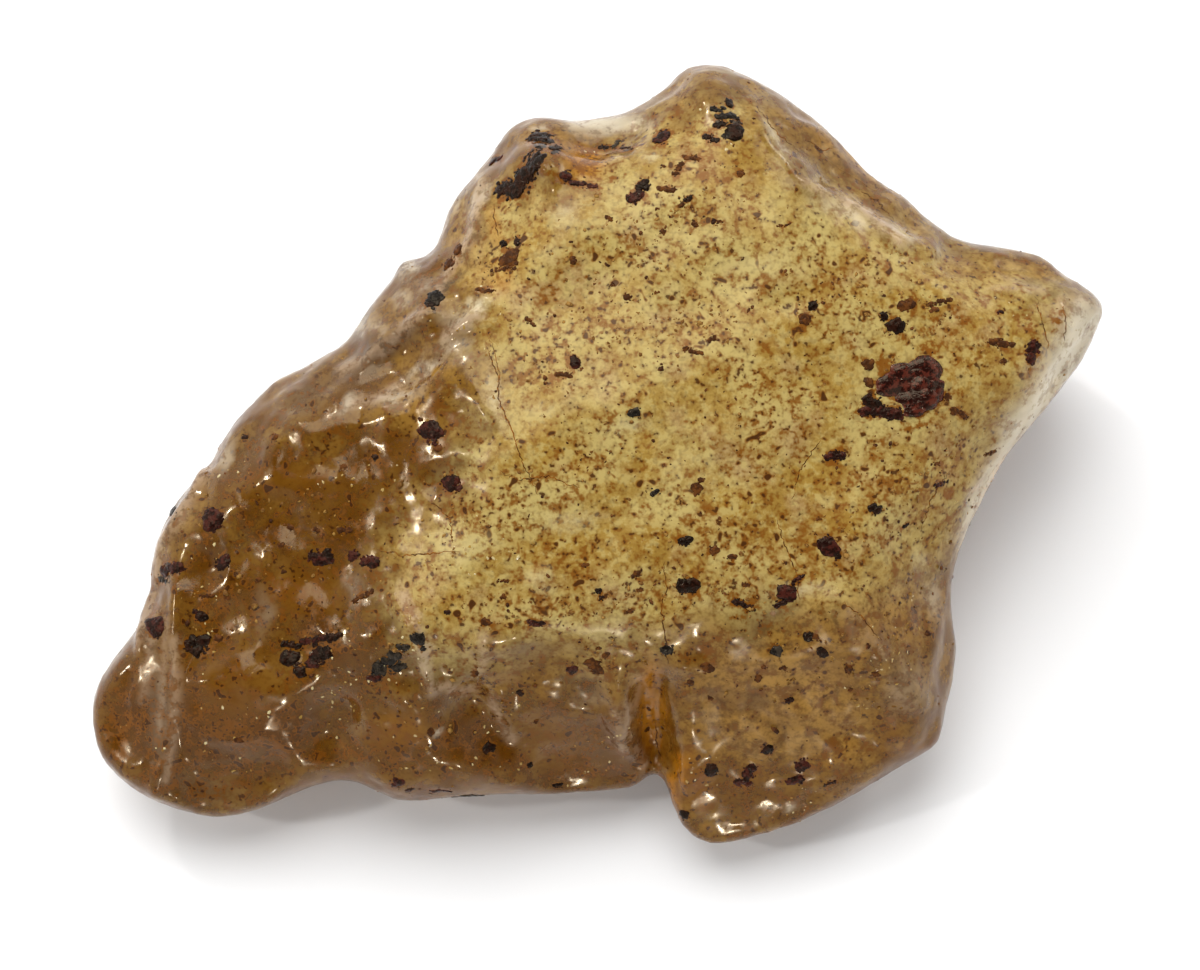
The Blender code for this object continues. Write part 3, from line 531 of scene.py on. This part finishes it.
def patch(x, y, centre, radii, turn_deg):
    """1 at a patch's centre, falling smoothly to 0 at its edge. The turn is anticlockwise as seen."""
    turn = math.radians(turn_deg)
    across, up = x - centre[0], centre[1] - y
    along = (across * math.cos(turn) + up * math.sin(turn)) / radii[0]
    beside = (up * math.cos(turn) - across * math.sin(turn)) / radii[1]
    return smooth_step(1.0, 0.0, np.hypot(along, beside))


def patches(x, y, places):
    """The strongest of many patches at each point."""
    strongest = np.zeros_like(x)
    for px, py, half_long, half_wide, turn, strength in places:
        strongest = np.maximum(strongest, strength * patch(x, y, (px, py), (half_long, half_wide), turn))
    return strongest


def distance_to_path(x, y, points):
    nearest = np.full(x.shape, np.inf)
    for (ax, ay), (bx, by) in zip(points[:-1], points[1:]):
        dx, dy = bx - ax, by - ay
        share = np.clip(((x - ax) * dx + (y - ay) * dy) / (dx * dx + dy * dy), 0, 1)
        nearest = np.minimum(nearest, np.hypot(x - ax - share * dx, y - ay - share * dy))
    return nearest


def soft_line(x, y, path, half_width):
    """1 along a path, fading away beside it."""
    return np.exp(-((distance_to_path(x, y, path) / half_width) ** 2))


def lines(x, y, places):
    """The strongest of many soft lines at each point."""
    strongest = np.zeros_like(x)
    for path, half_width, strength in places:
        strongest = np.maximum(strongest, strength * soft_line(x, y, path, half_width))
    return strongest


def distance_inside(x, y, corners):
    """How far each point lies inside a closed outline; below 0 outside it."""
    closed = corners + corners[:1]
    inside = np.zeros(x.shape, dtype=bool)
    for (ax, ay), (bx, by) in zip(closed[:-1], closed[1:]):
        crosses = (ay > y) != (by > y)
        inside ^= crosses & (x < (bx - ax) * (y - ay) / ((by - ay) or 1e-9) + ax)
    away = distance_to_path(x, y, closed)
    return np.where(inside, away, -away)


def ripple(points, size, seed):
    """Smooth noise from about -1 to 1 at each point, with bumps of the given size in millimetres."""
    scaled = points / (size * MM) + seed * 17.3
    return np.array([noise.noise(p, noise_basis="PERLIN_NEW") for p in map(Vector, scaled)])


def ripples(points, layers, first_seed):
    """A sum of ripples. Each layer has its height and its size, and a seed of its own."""
    return sum(height * ripple(points, size, seed) for seed, (height, size) in enumerate(layers, first_seed))


def chips(points, size, seed):
    """Shell-shaped hollows in cells of the given size: 0 in a cell's middle, up to about 1 at its rim."""
    scaled = points / (size * MM) + seed * 11.7
    depth = [noise.voronoi(p)[0] for p in map(Vector, scaled)]
    return np.clip(np.array([d[0] / max(d[1], 1e-6) for d in depth]), 0, 1)


# ---------- the resin

def link(name, mesh):
    """A new object of this mesh in the scene."""
    made = bpy.data.objects.new(name, mesh)
    bpy.context.collection.objects.link(made)
    return made


def settle(piece):
    """Applies the piece's modifiers."""
    evaluated = piece.evaluated_get(bpy.context.evaluated_depsgraph_get())
    piece.data = bpy.data.meshes.new_from_object(evaluated)
    piece.modifiers.clear()


def smooth(piece, times, group=""):
    modifier = piece.modifiers.new("smooth", "SMOOTH")
    modifier.factor = 0.5
    modifier.iterations = times
    modifier.vertex_group = group
    settle(piece)


def points_and_normals(mesh):
    points = np.empty(len(mesh.vertices) * 3)
    normals = np.empty(len(mesh.vertices) * 3)
    mesh.vertices.foreach_get("co", points)
    mesh.vertex_normals.foreach_get("vector", normals)
    return points.reshape(-1, 3), normals.reshape(-1, 3)


def dense_copy():
    """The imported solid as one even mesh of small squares, with its facets smoothed away."""
    piece = link("copal_resin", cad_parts[NODE].data.copy())
    shape = bmesh.new()
    shape.from_mesh(piece.data)
    bmesh.ops.remove_doubles(shape, verts=shape.verts, dist=WELD)
    shape.to_mesh(piece.data)
    shape.free()
    remesh = piece.modifiers.new("even", "REMESH")
    remesh.mode = "VOXEL"
    remesh.voxel_size = RESIN_SQUARE
    settle(piece)
    smooth(piece, RESIN_SMOOTHING)
    wear_face(piece)
    return piece


def wear_face(piece):
    """Smooths the broad face further."""
    points, normals = points_and_normals(piece.data)
    worn = smooth_step(*WORN_INSIDE, distance_inside(*to_picture(points), BROAD_FACE))
    worn = worn * smooth_step(*WORN_FACING, normals @ TO_CAMERA)
    group = piece.vertex_groups.new(name="worn")
    for index in np.flatnonzero(worn > LEAST_WORN):
        group.add([int(index)], float(worn[index]), "REPLACE")
    smooth(piece, FACE_SMOOTHING, "worn")
    piece.vertex_groups.clear()


def skin_relief(points, x, y, seen, face, broken):
    """Height of the fine relief over the smooth lump, in millimetres."""
    height = (1.0 - FACE_EVEN * face) * ripples(points, SKIN_RIPPLES, 1)
    height -= PIT_DEPTH * smooth_step(*PIT_RIM, chips(points, PIT_CELL, 4))
    chipped = CHIP_DEPTH * (chips(points, CHIP_CELL, 5) - CHIP_LEVEL)
    height += broken * (chipped + GRAIN_HEIGHT * ripple(points, GRAIN_SIZE, 6))
    wander = WANDER_REACH * ripple(points, WANDER_SIZE, 7)
    for path, half_width, rise in RIDGES:
        height += seen * rise * soft_line(x + wander, y, path, half_width)
    height += seen * SEAM_HEIGHT * lines(x + wander, y, SEAMS_AND_HIGHLIGHTS)
    for centre, radii, turn, rise in DENTS:
        height += seen * rise * patch(x, y, centre, radii, turn)
    return height


def debris_shadow(x, y):
    """The dark that each spot of debris lends to the resin over and round it."""
    spots = []
    for sort, places in {**DEBRIS, "red": RED_SPOTS}.items():
        spots += [(px, py, SHADOW_REACH * length, SHADOW_REACH * width, turn, SHADOWS[sort])
                  for px, py, length, width, turn in places]
    return patches(x, y, spots)


def crowding(points, x, y, seen):
    """How thickly specks lie at each point, from about -1 for none to 1 where they run together."""
    crowds = [(*crowd[:5], 1.0) for crowd in SPECK_CROWDS]
    drawn = np.maximum(CROWD_STRENGTH * patches(x, y, crowds), patches(x, y, BROWN_PATCHES))
    return seen * drawn + ripples(points, CROWDS, 15) + CROWD_LEVEL


def add_field(mesh, name, values):
    field = mesh.attributes.new(name, "FLOAT", "POINT")
    field.data.foreach_set("value", np.ascontiguousarray(values, dtype=np.float32))


def make_resin():
    """The resin with its relief, and the fields that its material reads."""
    piece = dense_copy()
    mesh = piece.data
    points, normals = points_and_normals(mesh)
    x, y = to_picture(points)
    seen = smooth_step(*SEEN, normals @ TO_CAMERA)

    bend = ripple(points, BEND_SIZE, 8)
    fray = ripple(points, FRAY_SIZE, 9)
    frayed_x = x + BEND_REACH * bend + FRAY_REACH * fray
    frayed_y = y + BEND_REACH * ripple(points, BEND_SIZE, 10) + FRAY_REACH * fray
    inside = distance_inside(frayed_x, frayed_y, BROAD_FACE) + FACE_FRAY * fray + FACE_BEND * bend
    face = smooth_step(*FACE_EDGE, inside) * seen
    broken = seen * patches(frayed_x, frayed_y, BROKEN_PATCHES)

    height = skin_relief(points, x, y, seen, face, broken) * smooth_step(*FOOT_FADE, points[:, 2])
    points = points + normals * height[:, None] * MM
    points = np.clip(points, np.array(CAD_BOX[0]), np.array(CAD_BOX[1]))
    mesh.vertices.foreach_set("co", points.ravel())

    add_field(mesh, "face", face)
    for name, places in FIELDS.items():
        add_field(mesh, name, seen * patches(frayed_x, frayed_y, places))
    add_field(mesh, "dark", seen * debris_shadow(x, y))
    add_field(mesh, "seam_and_highlight", seen * lines(x + SEAM_FRAY * fray, y, SEAMS_AND_HIGHLIGHTS))
    add_field(mesh, "edge", seen * lines(x + CREAM_FRAY * fray, y, CREAM_EDGES))
    add_field(mesh, "clouds", ripples(points, CLOUDS, 11))
    add_field(mesh, "haze", ripples(points, HAZE, 13))
    add_field(mesh, "crowd", crowding(points, frayed_x, frayed_y, seen))
    mesh.shade_smooth()
    mesh.update()
    mesh.materials.clear()
    mesh.materials.append(resin_material())
    return piece


# ---------- small lumps, gathered into single meshes

def ball(level):
    """A round ball of triangles: its corner points and its faces."""
    shape = bmesh.new()
    bmesh.ops.create_icosphere(shape, subdivisions=level, radius=1.0)
    corners = np.array([v.co[:] for v in shape.verts])
    faces = np.array([[v.index for v in f.verts] for f in shape.faces])
    shape.free()
    return corners, faces


BALLS = {level: ball(level) for level in (1, 2, 3)}


def at_pixel(surface, x, y):
    """Place and normal where the camera sees a pixel of the surface, or None beside it."""
    place, normal, _, _ = surface.ray_cast(Vector(CAMERA_PLACE), sight_line(x, y))
    return None if place is None else (place, normal)


class Grains:
    """Many small irregular lumps gathered into one mesh."""

    def __init__(self, seed):
        self.dice = random.Random(seed)
        self.corners = []
        self.faces = []
        self.count = 0

    def add(self, place, normal, radii, sink, level=1, uneven=0.25, turn=None):
        """One lump: radii along, across and out of the surface in metres, sunk below it by a share of the
        outward radius. The turn is in radians from the world's X, taken into the surface."""
        dice = self.dice
        normal = normal.normalized()
        along = Vector((1, 0, 0)) - normal * normal.x
        along.normalize()
        turn = dice.uniform(0, math.tau) if turn is None else turn
        along = Matrix.Rotation(turn, 3, normal) @ along
        across = normal.cross(along)
        corners, faces = BALLS[level]
        shift = Vector((dice.uniform(0, 99), dice.uniform(0, 99), dice.uniform(0, 99)))
        swell = [1 + uneven * 2 * noise.noise(Vector(c) * 1.7 + shift) for c in corners]
        shaped = corners * np.array(swell)[:, None] * np.array(radii)
        axes = np.array((along, across, normal))
        middle = np.array(place - normal * radii[2] * sink)
        self.corners.append(shaped @ axes + middle)
        self.faces.append(faces + self.count)
        self.count += len(corners)

    def piece(self, name, material):
        return mesh_piece(name, np.vstack(self.corners).tolist(), np.vstack(self.faces).tolist(), material)


def mesh_piece(name, corners, faces, material):
    mesh = bpy.data.meshes.new(name)
    mesh.from_pydata(corners, [], faces)
    mesh.shade_smooth()
    mesh.materials.append(material)
    return link(name, mesh)


def in_metres(pixels):
    return pixels / PIXELS_PER_MM * MM


def across_spot(spot, along, beside):
    """The pixel that lies along and beside a spot's middle, in its own turned directions."""
    x, y, turn = spot[0], spot[1], math.radians(spot[4])
    return (x + along * math.cos(turn) - beside * math.sin(turn),
            y - along * math.sin(turn) - beside * math.cos(turn))


def fill_spot(grains, surface, spot):
    """Fills one spot of debris: a few soft lumps run together in its middle, and crumbs round its rim."""
    length, width, turn = *spot[2:4], math.radians(spot[4])
    dice = grains.dice
    lumps = 2 + round(length / width * 2)
    crumbs = 2 + round(length * width / CRUMB_AREA)
    for index in range(lumps + crumbs):
        if index < lumps:
            along = (index / (lumps - 1) - 0.5) * (length - 0.7 * width) + dice.gauss(0, 0.05) * length
            beside = dice.gauss(0, 0.10) * width
            radius = dice.uniform(*LUMP_RADII) * width
        else:
            angle = dice.uniform(0, math.tau)
            reach = dice.uniform(*CRUMB_REACH)
            along, beside = reach * math.cos(angle) * length / 2, reach * math.sin(angle) * width / 2
            radius = max(LEAST_CRUMB, dice.uniform(*CRUMB_RADII) * width)
        hit = at_pixel(surface, *across_spot(spot, along, beside))
        if hit is None:
            continue
        radius = in_metres(radius)
        stretch = dice.uniform(1.0, 1.25)
        radii = (radius * stretch, radius / stretch, min(DEBRIS_HEIGHT, radius * DEBRIS_FLATNESS))
        level = 1 + (radius > ROUNDER) + (radius > ROUNDEST)
        sink = dice.uniform(0.1, 0.5)
        grains.add(*hit, radii, sink, level, DEBRIS_UNEVEN, turn + dice.gauss(0, 0.6))


def inside_box(place, margin):
    """Whether a place lies inside the solid's box by a margin, from side to side and from front to back."""
    low, high = CAD_BOX
    return all(low[i] + margin < place[i] < high[i] - margin for i in (0, 1))


def fill_back(grains, surface, resin):
    """Spots of debris on the sides that the photograph doesn't show, each a few lumps run together."""
    dice = grains.dice
    mesh = resin.data
    placed = 0
    while placed < BACK_SPOTS:
        face = mesh.polygons[dice.randrange(len(mesh.polygons))]
        if face.center.z < FOOT_CLEAR or face.normal @ Vector(TO_CAMERA) > BACK_FACING:
            continue
        placed += 1
        half = dice.uniform(*BACK_SPOT) * MM
        for _ in range(dice.randint(3, 7)):
            shift = Vector((dice.gauss(0, half), dice.gauss(0, half), dice.gauss(0, half)))
            place, normal, _, _ = surface.find_nearest(face.center + shift)
            radius = dice.uniform(0.4, 0.9) * half
            if place.z > FOOT_CLEAR and inside_box(place, BOX_CLEAR):
                radii = (radius * 1.3, radius, min(DEBRIS_HEIGHT, radius * DEBRIS_FLATNESS))
                grains.add(place, normal, radii, dice.uniform(0.2, 0.6), 2, DEBRIS_UNEVEN)


def make_debris(sort, seed, surface, resin):
    """All the debris of one sort."""
    grains = Grains(seed)
    for spot in DEBRIS[sort]:
        fill_spot(grains, surface, spot)
    fill_back(grains, surface, resin)
    name = sort + "_debris"
    return grains.piece(name, debris_material(name))


def bark_scrap(surface):
    """The large scrap of bark: one smooth bumpy body of lumps that run its length, thin at its ends."""
    length, width, turn = *BARK_SCRAP[2:4], math.radians(BARK_SCRAP[4])
    grains = Grains(BARK_SEED)
    dice = grains.dice
    for _ in range(BARK_LUMPS):
        angle = dice.uniform(0, math.tau)
        reach = BARK_REACH * math.sqrt(dice.random())
        along, beside = reach * length * math.cos(angle), reach * width * math.sin(angle)
        hit = at_pixel(surface, *across_spot(BARK_SCRAP, along, beside))
        half = in_metres(dice.uniform(*BARK_HALF_LENGTHS) * length)
        thin = in_metres(dice.uniform(*BARK_HALF_WIDTHS) * width)
        sink = dice.uniform(0.0, 0.5)
        grains.add(*hit, (half, thin, thin * BARK_FLATNESS), sink, 3, 0.15, turn + dice.gauss(0, 0.3))
    return grains.piece("bark_scrap", debris_material("bark_scrap"))


def scatter_specks(grains, surface, share, sinks, largest):
    """Small specks that crowd over the broad face. The share thins the crowds out."""
    dice = grains.dice
    for crowd in SPECK_CROWDS:
        for _ in range(round(crowd[5] * share)):
            along, beside = dice.gauss(0, CROWD_SPREAD) * crowd[2], dice.gauss(0, CROWD_SPREAD) * crowd[3]
            hit = at_pixel(surface, *across_spot(crowd, along, beside))
            if hit is None:
                continue
            radius = min(largest, SPECK_RADIUS * math.exp(abs(dice.gauss(0, 0.6)))) * MM
            for _ in range(dice.choice((1, 1, 2, 3))):
                stretch = dice.uniform(1.0, 1.4)
                shift = Vector((dice.gauss(0, 0.9), dice.gauss(0, 0.9), 0)) * radius
                radii = (radius * stretch, radius / stretch, radius * 0.5)
                grains.add(hit[0] + shift, hit[1], radii, dice.uniform(*sinks), uneven=0.3)
                radius *= dice.uniform(0.5, 0.9)


def scatter_over(grains, resin, count, radius_range, sinks):
    """Specks spread evenly over the whole outside, but for the foot it rests on."""
    dice = grains.dice
    mesh = resin.data
    for _ in range(count):
        face = mesh.polygons[dice.randrange(len(mesh.polygons))]
        if face.center.z < FOOT_CLEAR:
            continue
        radius = dice.uniform(*radius_range) * MM
        radii = (radius, radius * 0.8, radius * 0.55)
        grains.add(face.center.copy(), face.normal.copy(), radii, dice.uniform(*sinks), uneven=0.35)


def make_specks(name, surface, resin):
    seed, share, crowd_sinks, largest, count, radius_range, sinks = SPECKS[name]
    grains = Grains(seed)
    scatter_specks(grains, surface, share, crowd_sinks, largest)
    scatter_over(grains, resin, count, radius_range, sinks)
    return grains.piece(name, debris_material(name))


def broken_grit(surface):
    """Glassy crumbs of resin on the broken places, whose flat faces catch the light."""
    grains = Grains(GRIT_SEED)
    dice = grains.dice
    for spot in BROKEN_PATCHES:
        half_long, half_wide, strength = spot[2], spot[3], spot[5]
        for _ in range(round(GRIT_SHARE * strength * half_long * half_wide)):
            along, beside = dice.gauss(0, GRIT_SPREAD) * half_long, dice.gauss(0, GRIT_SPREAD) * half_wide
            hit = at_pixel(surface, *across_spot(spot, along, beside))
            if hit:
                radius = dice.uniform(*GRIT_RADII)
                grains.add(*hit, (radius * 1.5, radius, radius * 0.6), dice.uniform(0.1, 0.8), uneven=0.4)
    made = grains.piece("broken_grit", grit_material())
    made.data.shade_flat()
    return made


def places_along(path, surface, dice):
    """Places and normals on the surface along a drawn path, a step apart and a little astray."""
    knots = np.array(path, dtype=float)
    travelled = np.concatenate([[0], np.cumsum(np.linalg.norm(np.diff(knots, axis=0), axis=1))])
    steps = np.arange(0, travelled[-1], THREAD_STEP)
    line = [np.interp(steps, travelled, knots[:, i]) for i in (0, 1)]
    hits = [at_pixel(surface, x + dice.gauss(0, THREAD_WANDER), y + dice.gauss(0, THREAD_WANDER))
            for x, y in zip(*line)]
    return [hit for hit in hits if hit]


def hairline_cracks(surface):
    """Thin dark threads half sunk in the surface, tapering to both ends: along each crack, and down the cleft
    as painted shade.
    """
    dice = random.Random(CRACK_SEED)
    corners, faces = [], []
    for path in CRACKS_AND_CLEFT_SHADE:
        hits = places_along(path, surface, dice)
        for index, (place, normal) in enumerate(hits):
            along = hits[min(index + 1, len(hits) - 1)][0] - hits[max(index - 1, 0)][0]
            across = normal.cross(along).normalized()
            taper = math.sin(math.pi * (index + 0.5) / len(hits)) ** 0.5
            reach = CRACK_RADIUS * taper * dice.uniform(0.6, 1.3)
            ring = [len(corners) + side for side in range(THREAD_SIDES)]
            for side in range(THREAD_SIDES):
                angle = math.tau * side / THREAD_SIDES
                outward = across * math.cos(angle) + normal * 0.6 * math.sin(angle)
                corners.append(tuple(place + outward * reach))
            if index:
                for here, after in zip(ring, ring[1:] + ring[:1]):
                    faces.append((here - THREAD_SIDES, here, after, after - THREAD_SIDES))
            if index == 0:
                faces.append(ring)
            if index == len(hits) - 1:
                faces.append(ring[::-1])
    return mesh_piece("hairline_cracks", corners, faces, debris_material("hairline_cracks"))


def sealed_things(surface, resin):
    """Every piece of debris, grit and crack in the resin."""
    made = [make_debris(sort, seed, surface, resin) for seed, sort in enumerate(DEBRIS, DEBRIS_SEED)]
    made += [bark_scrap(surface), broken_grit(surface), hairline_cracks(surface)]
    made += [make_specks(name, surface, resin) for name in SPECKS]
    return made


# ---------- materials

class Nodes:
    """The nodes of a material or a world, and short ways to add to them."""

    def __init__(self, owner):
        owner.use_nodes = True
        self.tree = owner.node_tree

    def node(self, kind, inputs, **settings):
        made = self.tree.nodes.new(kind)
        for name, value in settings.items():
            setattr(made, name, value)
        for key, value in inputs.items():
            self.put(made.inputs[key], value)
        return made

    def put(self, socket, value):
        if isinstance(value, bpy.types.NodeSocket):
            self.tree.links.new(value, socket)
        elif isinstance(value, tuple) and len(value) == 3 and socket.type == "RGBA":
            socket.default_value = (*value, 1.0)
        else:
            socket.default_value = value

    def set(self, node_name, **values):
        for name, value in values.items():
            self.put(self.tree.nodes[node_name].inputs[name.replace("_", " ")], value)

    def ramp(self, value, low, high, to_low=0.0, to_high=1.0):
        inputs = {"Value": value, "From Min": low, "From Max": high, "To Min": to_low, "To Max": to_high}
        return self.node("ShaderNodeMapRange", inputs, interpolation_type="SMOOTHSTEP").outputs["Result"]

    def combine(self, operation, first, second, third=0.0):
        return self.node("ShaderNodeMath", {0: first, 1: second, 2: third}, operation=operation).outputs[0]

    def times(self, first, second):
        return self.combine("MULTIPLY", first, second)

    def raised(self, base, value, share):
        """The base with a share of the value added."""
        return self.combine("MULTIPLY_ADD", value, share, base)


class Finish(Nodes):
    """A material's nodes. Sizes are in millimetres."""

    def __init__(self, name):
        self.material = bpy.data.materials.new(name)
        super().__init__(self.material)
        self.place = self.node("ShaderNodeTexCoord", {}).outputs["Object"]

    def field(self, name):
        """One of the mesh's own fields."""
        return self.node("ShaderNodeAttribute", {}, attribute_name=name).outputs["Fac"]

    def noise(self, size, seed, detail, rough=0.55):
        shift = (seed * 0.013, seed * 0.007, -seed * 0.011)
        place = self.node("ShaderNodeVectorMath", {0: self.place, 1: shift}, operation="ADD").outputs[0]
        inputs = {"Vector": place, "Scale": 1 / (size * MM), "Detail": detail, "Roughness": rough}
        return self.node("ShaderNodeTexNoise", inputs).outputs["Fac"]

    def mix(self, share, first, second):
        """Two colours mixed. Sockets 6 and 7 are the node's two colours, and output 2 is their mix."""
        return self.node("ShaderNodeMix", {"Factor": share, 6: first, 7: second}, data_type="RGBA").outputs[2]

    def lay(self, colour, tint, value, low, high, most=1.0):
        """The colour with a tint laid over it, none where the value is low and the most where it is high."""
        return self.mix(self.ramp(value, low, high, 0.0, most), colour, tint)

    def tinted(self, colour, tint, name, share):
        """The colour tinted where a field is strong. The share is a number or a socket."""
        return self.mix(self.times(self.field(name), share), colour, tint)

    def bump(self, height, depth):
        inputs = {"Height": height, "Distance": depth * MM, "Strength": 1.0}
        return self.node("ShaderNodeBump", inputs).outputs["Normal"]

    def done(self, **values):
        """Sets the surface, and hands over the material."""
        self.set("Principled BSDF", **values)
        return self.material


def honey_colour(finish, curds):
    """The broad face: straw and honey clouds, browner in places, curdled with olive and straw."""
    colour = finish.lay(HONEY, STRAW, finish.field("clouds"), -0.35, 0.4)
    colour = finish.lay(colour, BEIGE, finish.field("haze"), 0.0, 0.5, most=0.6)
    colour = finish.tinted(colour, RUST, "brown", 0.42)
    colour = finish.lay(colour, OLIVE, curds, 0.47, 0.61, most=0.5)
    return finish.lay(colour, STRAW, curds, 0.50, 0.38, most=0.7)


def skin_colour(finish, curds):
    """The skin: resin seen deeper, caramel and russet, fawn on the tan patches, dusky where clouded or painted
    with sheen.
    """
    colour = finish.lay(CARAMEL, TAN, finish.field("haze"), -0.5, 0.5)
    colour = finish.tinted(colour, FAWN, "tan", 0.85)
    colour = finish.tinted(colour, RUSSET, "brown", 0.9)
    colour = finish.lay(colour, TAWNY, finish.field("clouds"), 0.05, 0.55, most=0.6)
    colour = finish.lay(colour, TAWNY, curds, 0.42, 0.66, most=0.8)
    # dusky grey over clouded skin and painted sheen
    return finish.mix(finish.field("veil_and_sheen"), colour, VEIL_AND_SHEEN_COLOUR)


def with_stains(finish, colour, curds, pepper):
    """Rust where two noises run high together, and dark specks and dots, all thicker where specks crowd."""
    crowd = finish.field("crowd")
    stain = finish.raised(finish.times(curds, 0.6), pepper, 0.4)
    stain = finish.raised(stain, crowd, 0.07)
    colour = finish.lay(colour, RUST, stain, 0.50, 0.615, most=0.8)
    colour = finish.lay(colour, UMBER, finish.raised(pepper, crowd, 0.05), 0.64, 0.71, most=0.85)
    dot = finish.raised(finish.noise(DOT_SIZE, 31, detail=0.0), crowd, 0.05)
    colour = finish.lay(colour, RUST, dot, 0.70, 0.77, most=0.8)
    return finish.lay(colour, UMBER, dot, 0.76, 0.80, most=0.9)


def with_pale_places_and_highlights(finish, colour, curds, face):
    """Pale patches and painted highlights, lemon on the broad face and cream beside it, then cream edges and
    rosy seams.
    """
    # the pale field paints highlights as well as pale clouded resin
    pale_and_highlight = finish.mix(face, CREAM, LEMON)
    colour = finish.tinted(colour, pale_and_highlight, "pale_and_highlight", finish.ramp(curds, 0.62, 0.42, 0.35, 1.0))
    colour = finish.tinted(colour, CREAM, "edge", finish.ramp(curds, 0.60, 0.50, 0.55, 0.95))
    # rosy seams, partly painted highlights along ridges and edges
    return finish.tinted(colour, SEAM_AND_HIGHLIGHT_ROSE, "seam_and_highlight", finish.ramp(curds, 0.60, 0.44, 0.2, 0.8))


def with_debris_shadows(finish, colour, curds):
    """Round debris: a rusty halo frayed by the curds, and a near-black heart."""
    sealed = finish.raised(curds, finish.field("dark"), 0.5)
    colour = finish.lay(colour, RUST, sealed, 0.64, 0.74, most=0.9)
    return finish.lay(colour, CHAR, sealed, 0.82, 0.90, most=0.95)


def resin_material():
    finish = Finish("copal_resin")
    face = finish.field("face")
    curds = finish.noise(CURD_SIZE, 2, detail=3.0, rough=0.72)
    pepper = finish.noise(PEPPER_SIZE, 9, detail=1.0, rough=0.65)

    colour = finish.mix(face, skin_colour(finish, curds), honey_colour(finish, curds))
    colour = finish.lay(colour, RUSSET, pepper, 0.43, 0.64, most=0.35)
    colour = finish.tinted(colour, AMBER, "amber", 0.95)
    # painted shade in the grooves, dents, ledges and cleft, frayed by the curds
    colour = finish.tinted(colour, PAINTED_SHADE_COLOUR, "painted_shade", finish.ramp(curds, 0.42, 0.56, 0.4, 0.9))
    colour = with_stains(finish, colour, curds, pepper)
    colour = with_pale_places_and_highlights(finish, colour, curds, face)
    colour = with_debris_shadows(finish, colour, curds)

    # glossy skin, duller where it is curdled, where it is tan and on the worn broad face
    gloss = finish.ramp(curds, 0.42, 0.58, *SKIN_GLOSS)
    gloss = finish.combine("MAXIMUM", gloss, finish.ramp(face, 0.2, 1.0, 0.0, FACE_GLOSS))
    gloss = finish.combine("MAXIMUM", gloss, finish.ramp(finish.field("tan"), 0.1, 0.8, 0.0, TAN_GLOSS))
    clear = finish.ramp(face, 0.0, 1.0, SKIN_CLEAR, FACE_CLEAR)
    absorb = finish.node("ShaderNodeVolumeAbsorption", {"Color": ABSORBED, "Density": ABSORPTION_PER_METRE})
    finish.set("Material Output", Volume=absorb.outputs[0])
    return finish.done(Base_Color=colour, Roughness=gloss, IOR=RESIN_IOR, Transmission_Weight=clear,
                       Specular_IOR_Level=RESIN_SHINE, Specular_Tint=RESIN_SHEEN)


def grit_material():
    finish = Finish("broken_grit")
    colour = finish.lay(HONEY, LEMON, finish.noise(1.6, 21, detail=1.0), 0.4, 0.6)
    return finish.done(Base_Color=colour, Roughness=GRIT_GLOSS, IOR=RESIN_IOR, Transmission_Weight=FACE_CLEAR)


def debris_material(name):
    """Mottled and finely fibrous, in the two colours of its sort."""
    dark, light, roughness, shine = DEBRIS_LOOKS[name]
    finish = Finish(name)
    mottle = finish.noise(0.5, len(name), detail=4.0, rough=0.7)
    fibres = finish.noise(0.16, len(name) + 1, detail=2.0)
    gloss = finish.ramp(fibres, 0.40, 0.60, roughness * 0.6, roughness * 1.5)
    return finish.done(Base_Color=finish.lay(dark, light, mottle, 0.46, 0.58), Roughness=gloss,
                       Specular_IOR_Level=shine, Specular_Tint=RESIN_SHEEN, Normal=finish.bump(fibres, 0.03))


# ---------- studio

def floor():
    corners = [(x * FLOOR_HALF, y * FLOOR_HALF, 0) for x, y in ((-1, -1), (1, -1), (1, 1), (-1, 1))]
    grey = Finish("floor").done(Base_Color=FLOOR_GREY, Roughness=0.9)
    mesh_piece("floor", corners, [(0, 1, 2, 3)], grey)


def soft_light(name, place, size, power):
    """A square soft light, turned to the lump."""
    light = bpy.data.lights.new(name, "AREA")
    light.size = size
    light.energy = power
    made = link(name, light)
    made.location = place
    made.rotation_euler = (LIGHTS_AIM - Vector(place)).to_track_quat("-Z", "Y").to_euler()


def light_tent():
    """A room with bright walls, dimmer in front, and dark overhead where the camera is."""
    world = bpy.data.worlds.new("light_tent")
    nodes = Nodes(world)
    place = nodes.node("ShaderNodeTexCoord", {}).outputs["Generated"]
    towards = nodes.node("ShaderNodeSeparateXYZ", {0: place}).outputs
    overhead = nodes.ramp(towards["Z"], *TENT_OPENS, TENT_BRIGHT, TENT_DARK)
    in_front = nodes.ramp(towards["Y"], *TENT_TURNS, TENT_FRONT, 1.0)
    nodes.set("Background", Strength=nodes.times(overhead, in_front), Color=(1.0, 1.0, 1.0))
    bpy.context.scene.world = world


def studio():
    floor()
    light_tent()
    for light in LIGHTS:
        soft_light(*light)
    bpy.context.scene.view_settings.view_transform = "Standard"


def camera():
    lens = bpy.data.cameras.new("camera")
    lens.lens = LENS
    lens.sensor_width = SENSOR
    lens.clip_start = 0.01
    made = link("camera", lens)
    made.location = CAMERA_PLACE
    made.rotation_euler = (LEAN, 0, 0)
    bpy.context.scene.camera = made


camera()
studio()
resin = make_resin()
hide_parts(NODE)
outside = BVHTree.FromObject(resin, bpy.context.evaluated_depsgraph_get())
for part in [resin, *sealed_things(outside, resin)]:
    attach(part, BODY)
